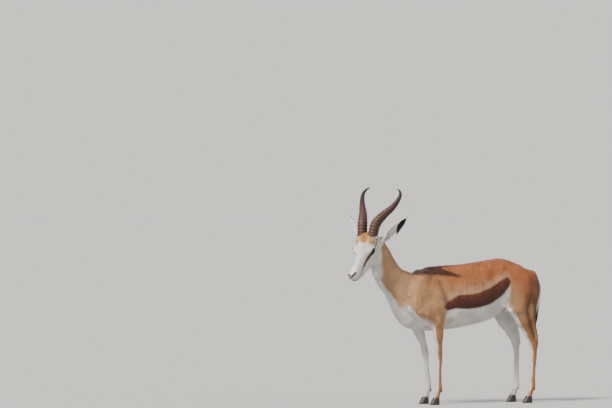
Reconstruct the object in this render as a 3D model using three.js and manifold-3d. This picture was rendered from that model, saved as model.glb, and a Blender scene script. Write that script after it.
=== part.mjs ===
// A life-size springbok ram standing still, its head turned to its own left.
// Millimetres, +Z up. The ram faces -X and its left side is -Y. The origin lies on the ground,
// under the middle of the bounding box.
// The flesh is one smooth body, described as blended solids of revolution and ovals, and parted
// into torso, neck, head and legs by thin flat cuts. Horns, ears, eyes, hooves and tail are
// pieces of their own, seated in the flesh.
import * as THREE from "three";
import { mergeVertices } from "three/addons/utils/BufferGeometryUtils.js";
import Module from "manifold-3d";

const wasm = await Module();
wasm.setup();

const GAP = 0.3; // clearance between two pieces that touch
const LEFT = -1;
const RIGHT = 1;
const V = (x, y, z) => new THREE.Vector3(x, y, z);

// Heights above the ground
const WITHERS = 728;
const CROUP = 771;
const ELBOW = 450;
const KNEE = 278; // the carpus of the foreleg
const HOCK = 312;
const STIFLE = 502;
const FETLOCK = 88;
const CORONET = 37; // the top edge of a hoof

const FORE_TRACK = 70; // from the middle plane to the middle of a fore hoof
const HIND_TRACK = 75;

// The trunk from the breast to the rump: place along the body, height of the back, height of the
// belly, half width, height of the widest level, and how square the upper half of the section is.
const TRUNK = [
  { x: -400, top: 668, belly: 452, half: 58, wide: 560, square: 2.0 },
  { x: -340, top: 684, belly: 404, half: 84, wide: 545, square: 1.8 },
  { x: -268, top: WITHERS, belly: 391, half: 102, wide: 530, square: 1.7 },
  { x: -170, top: 737, belly: 394, half: 114, wide: 535, square: 1.8 },
  { x: -60, top: 742, belly: 407, half: 120, wide: 545, square: 1.95 },
  { x: 60, top: 756, belly: 431, half: 118, wide: 568, square: 2.1 },
  { x: 180, top: CROUP, belly: 474, half: 108, wide: 608, square: 2.2 },
  { x: 270, top: 744, belly: 512, half: 98, wide: 632, square: 2.1 },
  { x: 350, top: 694, belly: 560, half: 76, wide: 620, square: 2.0 },
];
const TRUNK_FRONT_CAP = 60;
const TRUNK_REAR_CAP = 44;

// The head is drawn along its own axis: X towards the nose, Y to its left, Z up, from a point
// at the back of the skull. Sizes in the head are those of a head 265 long, times this scale.
const HEAD_SCALE = 1.13;
const HEAD_AT = V(-607, -55, 877);
const HEAD_TURN = 32; // degrees to the left of the body's line
const HEAD_PITCH = 37; // degrees nose down
const HEAD_ROLL = -2.4; // degrees, the left side lower
const EYE_AT = V(97, 39, 12);
const EYE_RADIUS = 16;
const EYE_LOOKS = V(0.3, 0.93, 0.1).normalize();

// The horn's middle line on the left side, in the head's frame, and its two half thicknesses
// along and across the head. The line starts inside the skull.
const HORN = [
  { at: V(44, 26, 38), deep: 24, wide: 19.5 },
  { at: V(-14, 36, 86), deep: 22.5, wide: 18.5 },
  { at: V(-72, 57, 97), deep: 18, wide: 16 },
  { at: V(-118, 80, 103), deep: 14, wide: 13 },
  { at: V(-161, 96, 117), deep: 10.5, wide: 10 },
  { at: V(-186, 98, 127), deep: 8, wide: 7.6 },
  { at: V(-204, 88, 135), deep: 5.2, wide: 5 },
  { at: V(-216, 70, 139), deep: 1.2, wide: 1.2 },
];
const HORN_RIDGES = 18;
const HORN_RIDGED_PART = 0.74; // of its length, from the foot
const RIDGE_HEIGHT = 1.7;

// The left ear from its root to its tip
const EAR_ROOT = V(11, 51, 2);
const EAR_TIP = V(-98, 150, 58);
const EAR_OPENS = V(0.5, 0.8, 0.2); // the way that the cup faces

const rad = THREE.MathUtils.degToRad;
const headFrame = new THREE.Matrix4()
  .makeTranslation(HEAD_AT)
  .multiply(new THREE.Matrix4().makeRotationZ(Math.PI + rad(HEAD_TURN)))
  .multiply(new THREE.Matrix4().makeRotationY(rad(HEAD_PITCH)))
  .multiply(new THREE.Matrix4().makeRotationX(rad(HEAD_ROLL)))
  .scale(V(HEAD_SCALE, HEAD_SCALE, HEAD_SCALE));
const toHead = headFrame.clone().invert();

// Smooth interpolation of one property of a list of stations, by its x.
function profile(stations, key) {
  const slope = (i) => {
    const a = stations[Math.max(i - 1, 0)];
    const b = stations[Math.min(i + 1, stations.length - 1)];
    return (b[key] - a[key]) / (b.x - a.x);
  };
  return (x) => {
    let i = 0;
    while (i < stations.length - 2 && x > stations[i + 1].x) i++;
    const [a, b] = [stations[i], stations[i + 1]];
    const span = b.x - a.x;
    const t = THREE.MathUtils.clamp((x - a.x) / span, 0, 1);
    const [t2, t3] = [t * t, t * t * t];
    return (
      (2 * t3 - 3 * t2 + 1) * a[key] +
      (t3 - 2 * t2 + t) * span * slope(i) +
      (3 * t2 - 2 * t3) * b[key] +
      (t3 - t2) * span * slope(i + 1)
    );
  };
}

// Distance fields. Each is negative inside and roughly in millimetres near the surface.

function trunkField() {
  const [top, belly, half, wide, square] = ["top", "belly", "half", "wide", "square"].map((key) =>
    profile(TRUNK, key),
  );
  const [first, last] = [TRUNK[0].x, TRUNK[TRUNK.length - 1].x];
  return (p) => {
    const x = THREE.MathUtils.clamp(p.x, first, last);
    const dz = p.z - wide(x);
    const rise = dz > 0 ? top(x) - wide(x) : wide(x) - belly(x);
    const power = dz > 0 ? square(x) : 2.1;
    const section =
      (Math.abs(p.y) / half(x)) ** power + (Math.abs(dz) / rise) ** power;
    const over = p.x < first ? (first - p.x) / TRUNK_FRONT_CAP : Math.max(0, p.x - last) / TRUNK_REAR_CAP;
    const q = Math.sqrt(section ** (2 / power) + over * over);
    const reach = Math.hypot(p.y, dz, p.x - x);
    return q < 1e-6 ? -Math.min(half(x), rise) : reach * (1 - 1 / q);
  };
}

// A tapered oval limb along a smooth line. Stations are [place, half width, half depth]; the
// width is measured along Y and the depth across both Y and the line.
function limb(stations, steps = 5) {
  const line = new THREE.CatmullRomCurve3(stations.map((s) => s[0]), false, "centripetal");
  const count = (stations.length - 1) * steps;
  const samples = [];
  for (let i = 0; i <= count; i++) {
    const u = (i / count) * (stations.length - 1);
    const k = Math.min(Math.floor(u), stations.length - 2);
    const t = u - k;
    const ease = t * t * (3 - 2 * t);
    samples.push({
      at: line.getPoint(i / count),
      side: THREE.MathUtils.lerp(stations[k][1], stations[k + 1][1], ease),
      deep: THREE.MathUtils.lerp(stations[k][2], stations[k + 1][2], ease),
    });
  }
  for (let i = 0; i < count; i++) {
    const along = samples[i + 1].at.clone().sub(samples[i].at);
    samples[i].length = along.length();
    samples[i].along = along.normalize();
  }
  const d = V(0, 0, 0);
  return (p) => {
    let best = Infinity;
    for (let i = 0; i < count; i++) {
      const a = samples[i];
      const b = samples[i + 1];
      d.subVectors(p, a.at);
      const t = THREE.MathUtils.clamp(d.dot(a.along) / a.length, 0, 1);
      d.addScaledVector(a.along, -t * a.length);
      const side = THREE.MathUtils.lerp(a.side, b.side, t);
      const deep = THREE.MathUtils.lerp(a.deep, b.deep, t);
      const reach = d.length();
      if (reach < 1e-6) {
        best = Math.min(best, -Math.min(side, deep));
        continue;
      }
      const over = d.dot(a.along);
      // The width axis is Y, squared up to the line
      const ny = Math.sqrt(1 - a.along.y * a.along.y);
      const across = (d.y - over * a.along.y) / ny;
      const depth = Math.sqrt(Math.max(0, reach * reach - over * over - across * across));
      const cap = Math.min(side, deep);
      const q = Math.hypot(across / side, depth / deep, over / cap);
      best = Math.min(best, reach * (1 - 1 / q));
    }
    return best;
  };
}

function oval(at, radii) {
  return (p) => {
    const [x, y, z] = [p.x - at.x, p.y - at.y, p.z - at.z];
    const q = Math.hypot(x / radii.x, y / radii.y, z / radii.z);
    return q < 1e-6 ? -Math.min(radii.x, radii.y, radii.z) : Math.hypot(x, y, z) * (1 - 1 / q);
  };
}

// Union of two distances with a fillet of about the given width, and the same for a cut.
function blend(a, b, width) {
  const h = Math.max(width - Math.abs(a - b), 0) / width;
  return Math.min(a, b) - (h * h * width) / 4;
}
const carve = (a, b, width) => -blend(-a, b, width);

// The head's own solids, in the head's frame
function headField() {
  const both = (at, radii) => [oval(at, radii), oval(V(at.x, -at.y, at.z), radii)];
  const joined = [
    [limb([[V(12, 0, 8), 38, 36], [V(50, 0, 10), 45, 42], [V(92, 0, 6), 42, 40]]), 1],
    [
      limb([
        [V(70, 0, 0), 42, 46],
        [V(110, 0, -5), 34, 40],
        [V(150, 0, -11), 26.5, 32.5],
        [V(190, 0, -17), 22.5, 26],
        [V(225, 0, -20), 21.5, 22],
        [V(246, 0, -21), 21, 20],
      ]),
      16,
    ],
    [
      limb([
        [V(44, 0, -46), 32, 35],
        [V(100, 0, -55), 27, 26],
        [V(160, 0, -57), 19, 18.5],
        [V(210, 0, -52), 16, 16],
        [V(240, 0, -46), 13.5, 11.5],
      ]),
      14,
    ],
    ...both(V(58, 27, -38), V(42, 16, 38)).map((f) => [f, 18]), // cheeks
    ...both(V(96, 34, 15), V(28, 21, 20)).map((f) => [f, 12]), // rims of the orbits
    ...both(V(42, 27, 36), V(20, 17, 14)).map((f) => [f, 12]), // bony cores of the horns
    ...both(V(14, 42, 0), V(18, 18, 20)).map((f) => [f, 14]), // roots of the ears
    ...both(V(247, 11, -15), V(15, 12, 13)).map((f) => [f, 8]), // wings of the nose
    ...both(V(228, 10, -31), V(26, 13, 9)).map((f) => [f, 8]), // upper lips
    [oval(V(233, 0, -46), V(17, 12, 8)), 6], // chin
  ];
  const hollows = both(V(132, 38, 4), V(24, 9, 12)); // the dip in front of each eye
  return (p) => {
    let f = Infinity;
    for (const [part, width] of joined) f = f === Infinity ? part(p) : blend(f, part(p), width);
    for (const part of hollows) f = carve(f, part(p), 10);
    return f;
  };
}

// One foreleg from the shoulder blade to the hoof. The forearm may lean: elbowX, kneeX and
// fetlockX place its joints along the body.
function foreleg(side, { elbowX, kneeX, fetlockX }) {
  const y = (d) => side * d;
  const between = (t) => THREE.MathUtils.lerp(elbowX, kneeX, t);
  const hoofX = fetlockX - 19;
  const blade = limb([
    [V(-284, y(42), 686), 24, 40],
    [V(-325, y(66), 610), 33, 58],
    [V(-368, y(76), 526), 33, 42],
  ]);
  const upper = limb([
    [V(-366, y(80), 528), 33, 42],
    [V(-318, y(86), 492), 36, 54],
    [V(elbowX, y(86), ELBOW + 4), 27, 40],
  ]);
  const elbow = oval(V(elbowX + 28, y(84), ELBOW + 20), V(18, 15, 26));
  const lower = limb([
    [V(elbowX - 4, y(86), ELBOW), 28, 37],
    [V(between(0.4), y(82), 385), 23, 30],
    [V(between(0.8), y(77), KNEE + 40), 16, 19],
    [V(kneeX - 2, y(75), KNEE), 17.5, 19.5],
    [V(kneeX + 3, y(74), KNEE - 38), 12, 14.5],
    [V(THREE.MathUtils.lerp(kneeX, fetlockX, 0.5), y(72), 180), 10.2, 13],
    [V(fetlockX, y(FORE_TRACK), FETLOCK + 26), 11.5, 14.5],
    [V(fetlockX, y(FORE_TRACK), FETLOCK), 16, 18],
    [V(hoofX + 9, y(FORE_TRACK), 60), 14, 14],
    [V(hoofX + 1, y(FORE_TRACK), CORONET), 18, 18.5],
    [V(hoofX - 5, y(FORE_TRACK), CORONET - 22), 18, 19],
  ]);
  return { hoofX, fetlockX, joined: [[blade, 26], [upper, 22], [elbow, 12], [lower, 14]] };
}

// One hind leg from the hip to the hoof
function hindleg(side, { shift }) {
  const y = (d) => side * d;
  const at = (x, d, z) => V(x + shift, y(d), z);
  const thigh = limb([
    [V(276, y(50), 668), 50, 88],
    [V(262, y(74), 590), 44, 92],
    [at(226, 90, STIFLE + 4), 33, 48],
  ]);
  const buttock = limb([
    [V(346, y(38), 672), 34, 40],
    [V(352, y(54), 590), 38, 42],
    [at(322, 68, 512), 28, 40],
    [at(318, 80, 448), 19, 30],
  ]);
  const lower = limb([
    [at(236, 92, STIFLE), 31, 46],
    [at(266, 91, 445), 26, 40],
    [at(300, 88, 382), 17, 25],
    [at(322, 86, 340), 13.5, 18.5],
    [at(336, 85, HOCK), 16.5, 22],
    [at(342, 83, HOCK - 42), 12.5, 16.5],
    [at(340, 79, 190), 10.8, 14],
    [at(337, HIND_TRACK, FETLOCK + 28), 12, 15],
    [at(336, HIND_TRACK, FETLOCK), 16.5, 18.5],
    [at(324, HIND_TRACK, 60), 14, 14],
    [at(315, HIND_TRACK, CORONET), 18, 18.5],
    [at(309, HIND_TRACK, CORONET - 22), 18, 19],
  ]);
  const tendon = limb([
    [at(330, 80, 456), 13, 20],
    [at(344, 84, 400), 7.5, 13],
    [at(355, 85, 345), 8, 12],
    [at(354, 85, HOCK - 2), 9.5, 12],
  ]);
  const web = limb([[at(306, 84, 452), 15, 30], [at(322, 87, 392), 8.5, 22], [at(338, 86, 350), 8, 16]]);
  return {
    hoofX: 314 + shift,
    fetlockX: 336 + shift,
    joined: [[thigh, 34], [buttock, 24], [lower, 18], [web, 8], [tendon, 8]],
  };
}

const NECK = [
  [V(-345, 0, 560), 66, 104],
  [V(-410, 0, 618), 68, 92],
  [V(-470, -5, 664), 60, 79],
  [V(-515, -15, 716), 53, 74],
  [V(-552, -29, 782), 48, 66],
  [V(-584, -43, 838), 43, 54],
];

const LEGS = {
  foreleg_left: { ...foreleg(LEFT, { elbowX: -240, kneeX: -222, fetlockX: -220 }), side: LEFT },
  foreleg_right: { ...foreleg(RIGHT, { elbowX: -284, kneeX: -226, fetlockX: -210 }), side: RIGHT },
  hindleg_left: { ...hindleg(LEFT, { shift: 4 }), side: LEFT },
  hindleg_right: { ...hindleg(RIGHT, { shift: -12 }), side: RIGHT },
};

const trunk = trunkField();
const neck = limb(NECK, 6);
const skull = headField();
const brisket = oval(V(-362, 0, 470), V(60, 46, 66));
const sheath = limb([[V(40, 0, 446), 14, 20], [V(110, 0, 462), 12, 17], [V(190, 0, 490), 10, 14]]);
const dock = limb([[V(340, 0, 690), 22, 22], [V(384, 0, 676), 14, 14], [V(408, 0, 648), 12, 12]]);
const inHead = V(0, 0, 0);

// The whole body of flesh, in the ram's frame
function body(p) {
  let f = trunk(p);
  f = blend(f, brisket(p), 30);
  if (p.x > 300) f = blend(f, dock(p), 16);
  else if (p.x > 0) f = blend(f, sheath(p), 14);
  f = blend(f, neck(p), 60);
  for (const leg of Object.values(LEGS)) {
    if (leg.side * p.y < -60) continue;
    for (const [part, width] of leg.joined) f = blend(f, part(p), width);
  }
  inHead.copy(p).applyMatrix4(toHead);
  if (inHead.x > -90) f = blend(f, skull(inHead) * HEAD_SCALE, 26);
  return f;
}

// The zero surface of a field inside a box of cells, as a closed indexed geometry. The box is given
// in a frame of its own, and the surface is closed off at the box's walls. Where two sheets of the
// surface pinch together in one cell, the cells are shifted a little and the surface is made anew.
function surfaceOf(field, frame, low, high, cell) {
  for (let shift = 0; shift < 1; shift += 0.13) {
    const from = low.clone().addScaledVector(cell, -shift);
    const geometry = netOver(field, frame, from, high, cell);
    const seen = new Map();
    const { array } = geometry.index;
    let pinched = false;
    for (let i = 0; i < array.length; i++) {
      const [a, b] = [array[i], array[i % 3 === 2 ? i - 2 : i + 1]];
      const key = Math.min(a, b) * 1e6 + Math.max(a, b);
      seen.set(key, (seen.get(key) ?? 0) + 1);
      if (seen.get(key) > 2) pinched = true;
    }
    if (!pinched) return geometry;
  }
  throw new Error("the surface pinches at every shift of its cells");
}

function netOver(field, frame, low, high, cell) {
  const n = V(
    Math.ceil((high.x - low.x) / cell.x),
    Math.ceil((high.y - low.y) / cell.y),
    Math.ceil((high.z - low.z) / cell.z),
  );
  const [nx, ny, nz] = [n.x + 1, n.y + 1, n.z + 1];
  const id = (i, j, k) => i + nx * (j + ny * k);
  const place = (i, j, k) => V(low.x + i * cell.x, low.y + j * cell.y, low.z + k * cell.z);
  const world = V(0, 0, 0);
  const value = (p) => {
    const wall = Math.max(
      low.x + cell.x * 0.6 - p.x, p.x - (low.x + (n.x - 0.6) * cell.x),
      low.y + cell.y * 0.6 - p.y, p.y - (low.y + (n.y - 0.6) * cell.y),
      low.z + cell.z * 0.6 - p.z, p.z - (low.z + (n.z - 0.6) * cell.z),
    );
    return Math.max(field(world.copy(p).applyMatrix4(frame)), wall);
  };
  const grid = new Float64Array(nx * ny * nz);
  for (let k = 0; k < nz; k++)
    for (let j = 0; j < ny; j++)
      for (let i = 0; i < nx; i++) grid[id(i, j, k)] = value(place(i, j, k)) || 1e-9;

  const points = [];
  const pointOf = new Int32Array(grid.length).fill(-1);
  const corner = [];
  for (let c = 0; c < 8; c++) corner.push([c & 1, (c >> 1) & 1, (c >> 2) & 1]);
  const edges = [];
  for (let a = 0; a < 8; a++)
    for (const bit of [1, 2, 4]) if (!(a & bit)) edges.push([a, a | bit]);
  const slope = V(0, 0, 0);
  for (let k = 0; k < n.z; k++)
    for (let j = 0; j < n.y; j++)
      for (let i = 0; i < n.x; i++) {
        const f = corner.map(([a, b, c]) => grid[id(i + a, j + b, k + c)]);
        const mean = V(0, 0, 0);
        let hits = 0;
        for (const [a, b] of edges)
          if (f[a] < 0 !== f[b] < 0) {
            const t = f[a] / (f[a] - f[b]);
            const from = place(i + corner[a][0], j + corner[a][1], k + corner[a][2]);
            const to = place(i + corner[b][0], j + corner[b][1], k + corner[b][2]);
            mean.add(from.lerp(to, t));
            hits++;
          }
        if (!hits) continue;
        mean.divideScalar(hits);
        // Two Newton steps put the point on the surface
        for (let step = 0; step < 2; step++) {
          const here = value(mean);
          slope.set(
            value(mean.clone().add(V(0.5, 0, 0))) - value(mean.clone().sub(V(0.5, 0, 0))),
            value(mean.clone().add(V(0, 0.5, 0))) - value(mean.clone().sub(V(0, 0.5, 0))),
            value(mean.clone().add(V(0, 0, 0.5))) - value(mean.clone().sub(V(0, 0, 0.5))),
          );
          if (slope.lengthSq() < 0.04) break;
          const move = slope.multiplyScalar(-here / slope.lengthSq());
          mean.add(move.clampLength(0, 0.35 * Math.min(cell.x, cell.y, cell.z)));
        }
        pointOf[id(i, j, k)] = points.length;
        points.push(mean);
      }

  const index = [];
  const quad = (a, b, c, d, flip) => {
    const ring = flip ? [a, d, c, b] : [a, b, c, d];
    const [p, q, r, s] = ring.map((i) => points[i]);
    if (p.distanceToSquared(r) < q.distanceToSquared(s))
      index.push(ring[0], ring[1], ring[2], ring[0], ring[2], ring[3]);
    else index.push(ring[1], ring[2], ring[3], ring[1], ring[3], ring[0]);
  };
  for (let k = 0; k < n.z; k++)
    for (let j = 0; j < n.y; j++)
      for (let i = 0; i < n.x; i++) {
        const inside = grid[id(i, j, k)] < 0;
        const at = (a, b, c) => pointOf[id(i + a, j + b, k + c)];
        if (j && k && inside !== grid[id(i + 1, j, k)] < 0)
          quad(at(0, -1, -1), at(0, 0, -1), at(0, 0, 0), at(0, -1, 0), !inside);
        if (i && k && inside !== grid[id(i, j + 1, k)] < 0)
          quad(at(-1, 0, -1), at(-1, 0, 0), at(0, 0, 0), at(0, 0, -1), !inside);
        if (i && j && inside !== grid[id(i, j, k + 1)] < 0)
          quad(at(-1, -1, 0), at(0, -1, 0), at(0, 0, 0), at(-1, 0, 0), !inside);
      }
  const geometry = new THREE.BufferGeometry().setFromPoints(points);
  geometry.setIndex(index);
  return geometry.applyMatrix4(frame);
}

// Solids: closed geometries joined and cut

function mergedBare(geometry) {
  const bare = geometry.clone();
  for (const name of Object.keys(bare.attributes)) if (name !== "position") bare.deleteAttribute(name);
  return mergeVertices(bare, 1e-4);
}

// A closed skin as a solid, turned right side out if its faces point inwards
function solid(geometry) {
  const merged = mergedBare(geometry);
  const triVerts = new Uint32Array(merged.index.array);
  const make = () =>
    new wasm.Manifold(
      new wasm.Mesh({
        numProp: 3,
        vertProperties: new Float32Array(merged.attributes.position.array),
        triVerts,
      }),
    );
  const made = make();
  if (made.volume() > 0) return made;
  for (let i = 0; i < triVerts.length; i += 3)
    [triVerts[i], triVerts[i + 1]] = [triVerts[i + 1], triVerts[i]];
  return make();
}

// Only the largest closed body of a solid, which fills sealed hollows and drops loose scraps
function largest(made) {
  return made.decompose().sort((a, b) => b.volume() - a.volume())[0];
}

function geometryOf(made) {
  const mesh = made.getMesh();
  return new THREE.BufferGeometry()
    .setAttribute("position", new THREE.BufferAttribute(mesh.vertProperties, 3))
    .setIndex(new THREE.BufferAttribute(mesh.triVerts, 1));
}

// Everything on the side of a plane that its normal points to
function halfSpace(point, normal, clearance = 0) {
  const size = 4000;
  const n = normal.clone().normalize();
  const turn = new THREE.Quaternion().setFromUnitVectors(V(0, 0, 1), n);
  const box = new THREE.BoxGeometry(size, size, size).translate(0, 0, size / 2 + clearance);
  return solid(box.applyQuaternion(turn).translate(point.x, point.y, point.z));
}

// A closed skin through rings of points. Each ring runs counter-clockwise seen from the next.
function loft(rings) {
  const n = rings[0].length;
  const points = rings.flat();
  const index = [];
  for (let r = 0; r < rings.length - 1; r++)
    for (let i = 0; i < n; i++) {
      const [a, b] = [r * n + i, r * n + ((i + 1) % n)];
      index.push(a, b, b + n, a, b + n, a + n);
    }
  for (const r of [0, rings.length - 1]) {
    const middle = rings[r].reduce((sum, p) => sum.add(p), V(0, 0, 0)).divideScalar(n);
    points.push(middle);
    for (let i = 0; i < n; i++) {
      const [a, b] = [r * n + i, r * n + ((i + 1) % n)];
      index.push(points.length - 1, r ? a : b, r ? b : a);
    }
  }
  return new THREE.BufferGeometry().setFromPoints(points).setIndex(index);
}

// Collapses the tiny edges that cutting leaves, wherever the surface stays closed
function dropTinyEdges(geometry, shortest = 0.06) {
  const p = geometry.attributes.position;
  const tris = [];
  const around = Array.from({ length: p.count }, () => new Set());
  for (let t = 0; t < geometry.index.count; t += 3) {
    const tri = [0, 1, 2].map((k) => geometry.index.getX(t + k));
    for (const v of tri) around[v].add(tris.length);
    tris.push(tri);
  }
  const at = (v) => V(p.getX(v), p.getY(v), p.getZ(v));
  const neighbours = (v) => new Set([...around[v]].flatMap((t) => tris[t]).filter((w) => w !== v));
  for (let t = 0; t < tris.length; t++)
    for (let k = 0; tris[t] && k < 3; k++) {
      const [a, b] = [tris[t][k], tris[t][(k + 1) % 3]];
      if (at(a).distanceTo(at(b)) > shortest) continue;
      const shared = [...neighbours(a)].filter((v) => neighbours(b).has(v));
      if (shared.length !== 2) continue;
      for (const u of [...around[b]]) {
        if (tris[u].includes(a)) {
          for (const v of tris[u]) around[v].delete(u);
          tris[u] = null;
        } else {
          tris[u][tris[u].indexOf(b)] = a;
          around[a].add(u);
        }
      }
      around[b].clear();
    }
  return mergeVertices(
    new THREE.BufferGeometry().setFromPoints(tris.filter(Boolean).flat().map(at)),
    1e-5,
  );
}

// Flat cuts between the parts of the flesh. Each plane is a point and a normal.
const NECK_ROOT = { at: V(-402, 0, 640), normal: V(-0.93, 0, 0.36) };
const TAIL_ROOT = { at: V(403, 0, 656), normal: V(0.5, 0, -0.87) };
const NECK_HEAD = {
  at: V(-25, 0, 30).applyMatrix4(headFrame),
  normal: V(0.857, 0, 0.514).transformDirection(headFrame),
};
const FORELEG_CUT = (side) => ({ at: V(0, side * 56, 404), normal: V(0, side * 0.45, -0.89) });
const HINDLEG_CUT = (side) => ({ at: V(0, side * 40, 478), normal: V(0, side * 0.7, -0.72) });
const FORELEG_REAR = -150;
const HINDLEG_FRONT = 186;

function beyond({ at, normal }, clearance = 0) {
  return halfSpace(at, normal, clearance);
}
const reversed = ({ at, normal }) => ({ at, normal: normal.clone().negate() });

// The space that belongs to one leg, kept a clearance away from the torso
function legSpace(name, clearance) {
  const { side } = LEGS[name];
  const outer = halfSpace(V(0, 0, 0), V(0, side, 0));
  if (name.startsWith("fore"))
    return beyond(FORELEG_CUT(side), clearance)
      .intersect(outer)
      .intersect(halfSpace(V(FORELEG_REAR, 0, 0), V(-1, 0, 0), clearance));
  return beyond(HINDLEG_CUT(side), clearance)
    .intersect(outer)
    .intersect(halfSpace(V(HINDLEG_FRONT, 0, 0), V(1, 0, 0), clearance));
}

// A round space behind the flat face that the tail grows from
function tailSpace() {
  const turn = new THREE.Quaternion().setFromUnitVectors(V(0, 1, 0), TAIL_ROOT.normal.clone().normalize());
  const space = new THREE.CylinderGeometry(19, 24, 90, 12).translate(0, 45 - GAP / 2, 0);
  return solid(space.applyQuaternion(turn).translate(...TAIL_ROOT.at));
}

const still = new THREE.Matrix4();

function torsoSolid() {
  const mesh = surfaceOf(body, still, V(-505, -162, 372), V(440, 162, 796), V(38, 25, 24));
  let made = solid(mesh)
    .intersect(beyond(reversed(NECK_ROOT), GAP / 2))
    .subtract(tailSpace());
  for (const name of Object.keys(LEGS)) made = made.subtract(legSpace(name, -GAP / 2));
  return largest(made);
}

function neckSolid() {
  const mesh = surfaceOf(body, still, V(-700, -150, 430), V(-330, 120, 930), V(20, 16, 20));
  return largest(
    solid(mesh).intersect(beyond(NECK_ROOT, GAP / 2)).intersect(beyond(reversed(NECK_HEAD), GAP / 2)),
  );
}

function legSolid(name) {
  const fore = name.startsWith("fore");
  const { side } = LEGS[name];
  const inner = side < 0 ? -150 : 4;
  const outer = side < 0 ? -4 : 150;
  const low = V(fore ? -345 : 160, inner, CORONET - 30);
  const high = V(fore ? -140 : 440, outer, fore ? 520 : 640);
  const mesh = surfaceOf(body, still, low, high, V(10.5, 10, 24));
  let made = solid(mesh)
    .intersect(legSpace(name, GAP / 2))
    .intersect(halfSpace(V(0, 0, CORONET + GAP), V(0, 0, 1)));
  for (const apart of [-8, 8]) {
    const claw = mergedBare(new THREE.ConeGeometry(6, 19, 6)).rotateX(-Math.PI / 2).rotateY(-0.4);
    const at = V(LEGS[name].fetlockX + 13, side * (fore ? FORE_TRACK : HIND_TRACK) + apart, FETLOCK - 7);
    made = made.add(solid(claw.translate(at.x, at.y, at.z))); // a dewclaw, behind the fetlock
  }
  return largest(made);
}

// Pieces drawn on the head's left side, or mirrored to its right, are turned into the ram's frame
function onHead(geometry, side) {
  const made = geometry.clone();
  if (side === RIGHT) made.scale(1, -1, 1);
  return made.applyMatrix4(headFrame);
}

// A horn with its ridges. The foot of the same skin, grown a little, cuts its seat in the head.
function hornGeometry(grown = 0) {
  const line = new THREE.CatmullRomCurve3(HORN.map((s) => s.at));
  const length = line.getLength();
  const thickness = (key, u) => {
    const s = u * (HORN.length - 1);
    const k = Math.min(Math.floor(s), HORN.length - 2);
    return THREE.MathUtils.lerp(HORN[k][key], HORN[k + 1][key], s - k);
  };
  const stops = [];
  const ridges = HORN_RIDGES * 2;
  for (let i = 0; i <= ridges; i++)
    stops.push([(i / ridges) * HORN_RIDGED_PART, i % 2 ? RIDGE_HEIGHT : -0.3 * RIDGE_HEIGHT]);
  for (const t of [0.8, 0.86, 0.92, 0.97, 1]) stops.push([t, 0]);
  if (grown) stops.length = 8;
  const rings = stops.map(([t, ridge]) => {
    const u = line.getUtoTmapping(t);
    const along = line.getTangent(u);
    const across = V(0, 1, 0).addScaledVector(along, -along.y).normalize();
    const front = new THREE.Vector3().crossVectors(across, along);
    const centre = line.getPoint(u).addScaledVector(along, t === 0 ? -grown : 0);
    const ring = [];
    for (let i = 0; i < 12; i++) {
      const a = (i / 12) * 2 * Math.PI;
      const bump = ridge * (0.7 + 0.3 * Math.cos(a)) * (1 - 0.5 * t) + grown;
      ring.push(
        centre
          .clone()
          .addScaledVector(front, Math.cos(a) * (thickness("deep", u) + bump))
          .addScaledVector(across, Math.sin(a) * (thickness("wide", u) + bump)),
      );
    }
    return ring;
  });
  if (length < 200) throw new Error("horn too short");
  return loft(rings);
}

// An ear: a round root that opens into a pointed, cupped leaf. Rows are the distance along
// the ear, half width, depth of the back, how far the front face is drawn in to make the cup
// (from 0, bulging, to 1, a thin leaf), and half the angle that the leaf curls through.
const EAR_ROWS = [
  [-0.06, 11, 10, 0, 90],
  [0.03, 12.5, 12, 0, 90],
  [0.1, 14, 13, 0.35, 95],
  [0.18, 15.5, 14.5, 0.8, 102],
  [0.28, 17, 15, 1, 100],
  [0.4, 18.5, 13.5, 1, 92],
  [0.54, 19, 11, 1, 84],
  [0.68, 17, 8.5, 1, 78],
  [0.82, 12, 5.8, 1, 74],
  [0.92, 7, 3.6, 1, 72],
  [1, 1.6, 1.4, 1, 70],
];
const EAR_THICK = 3;

function earGeometry(grown = 0) {
  const along = EAR_TIP.clone().sub(EAR_ROOT);
  const length = along.length();
  along.normalize();
  const opens = EAR_OPENS.clone().addScaledVector(along, -EAR_OPENS.dot(along)).normalize();
  const across = new THREE.Vector3().crossVectors(along, opens);
  const rings = EAR_ROWS.slice(0, grown ? 4 : undefined).map(([t, half, back, cup, curl], row) => {
    const arc = rad(curl);
    const sweep = curl > 90 ? 1 : Math.sin(arc);
    const bend = -7 * Math.sin(Math.PI * Math.max(t, 0)); // the ear bows a little forwards
    const centre = EAR_ROOT.clone()
      .addScaledVector(along, t * length - (row ? 0 : grown))
      .addScaledVector(opens, -bend);
    const at = (v, side) => {
      const a = v * arc;
      const x = ((half + grown) * Math.sin(a)) / sweep;
      const depth = (Math.cos(a) - Math.cos(arc)) / (1 - Math.cos(arc));
      const thick = Math.min(EAR_THICK, back * 0.8);
      const inner = THREE.MathUtils.lerp(-back, back - thick, cup) - grown;
      const d = side ? inner * depth : (back + grown) * depth;
      return centre.clone().addScaledVector(across, x).addScaledVector(opens, -d);
    };
    const ring = [];
    for (let i = 0; i < 7; i++) ring.push(at(-1 + i / 3.5, 0));
    for (let i = 0; i < 7; i++) ring.push(at(1 - i / 3.5, 1));
    return ring;
  });
  return loft(rings);
}

const eyeFrame = new THREE.Matrix4()
  .makeTranslation(EYE_AT)
  .multiply(
    new THREE.Matrix4().makeRotationFromQuaternion(
      new THREE.Quaternion().setFromUnitVectors(V(0, 0, 1), EYE_LOOKS),
    ),
  );

function eyeGeometry(radius) {
  return mergedBare(new THREE.SphereGeometry(radius, 12, 9)).translate(...EYE_AT);
}

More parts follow.
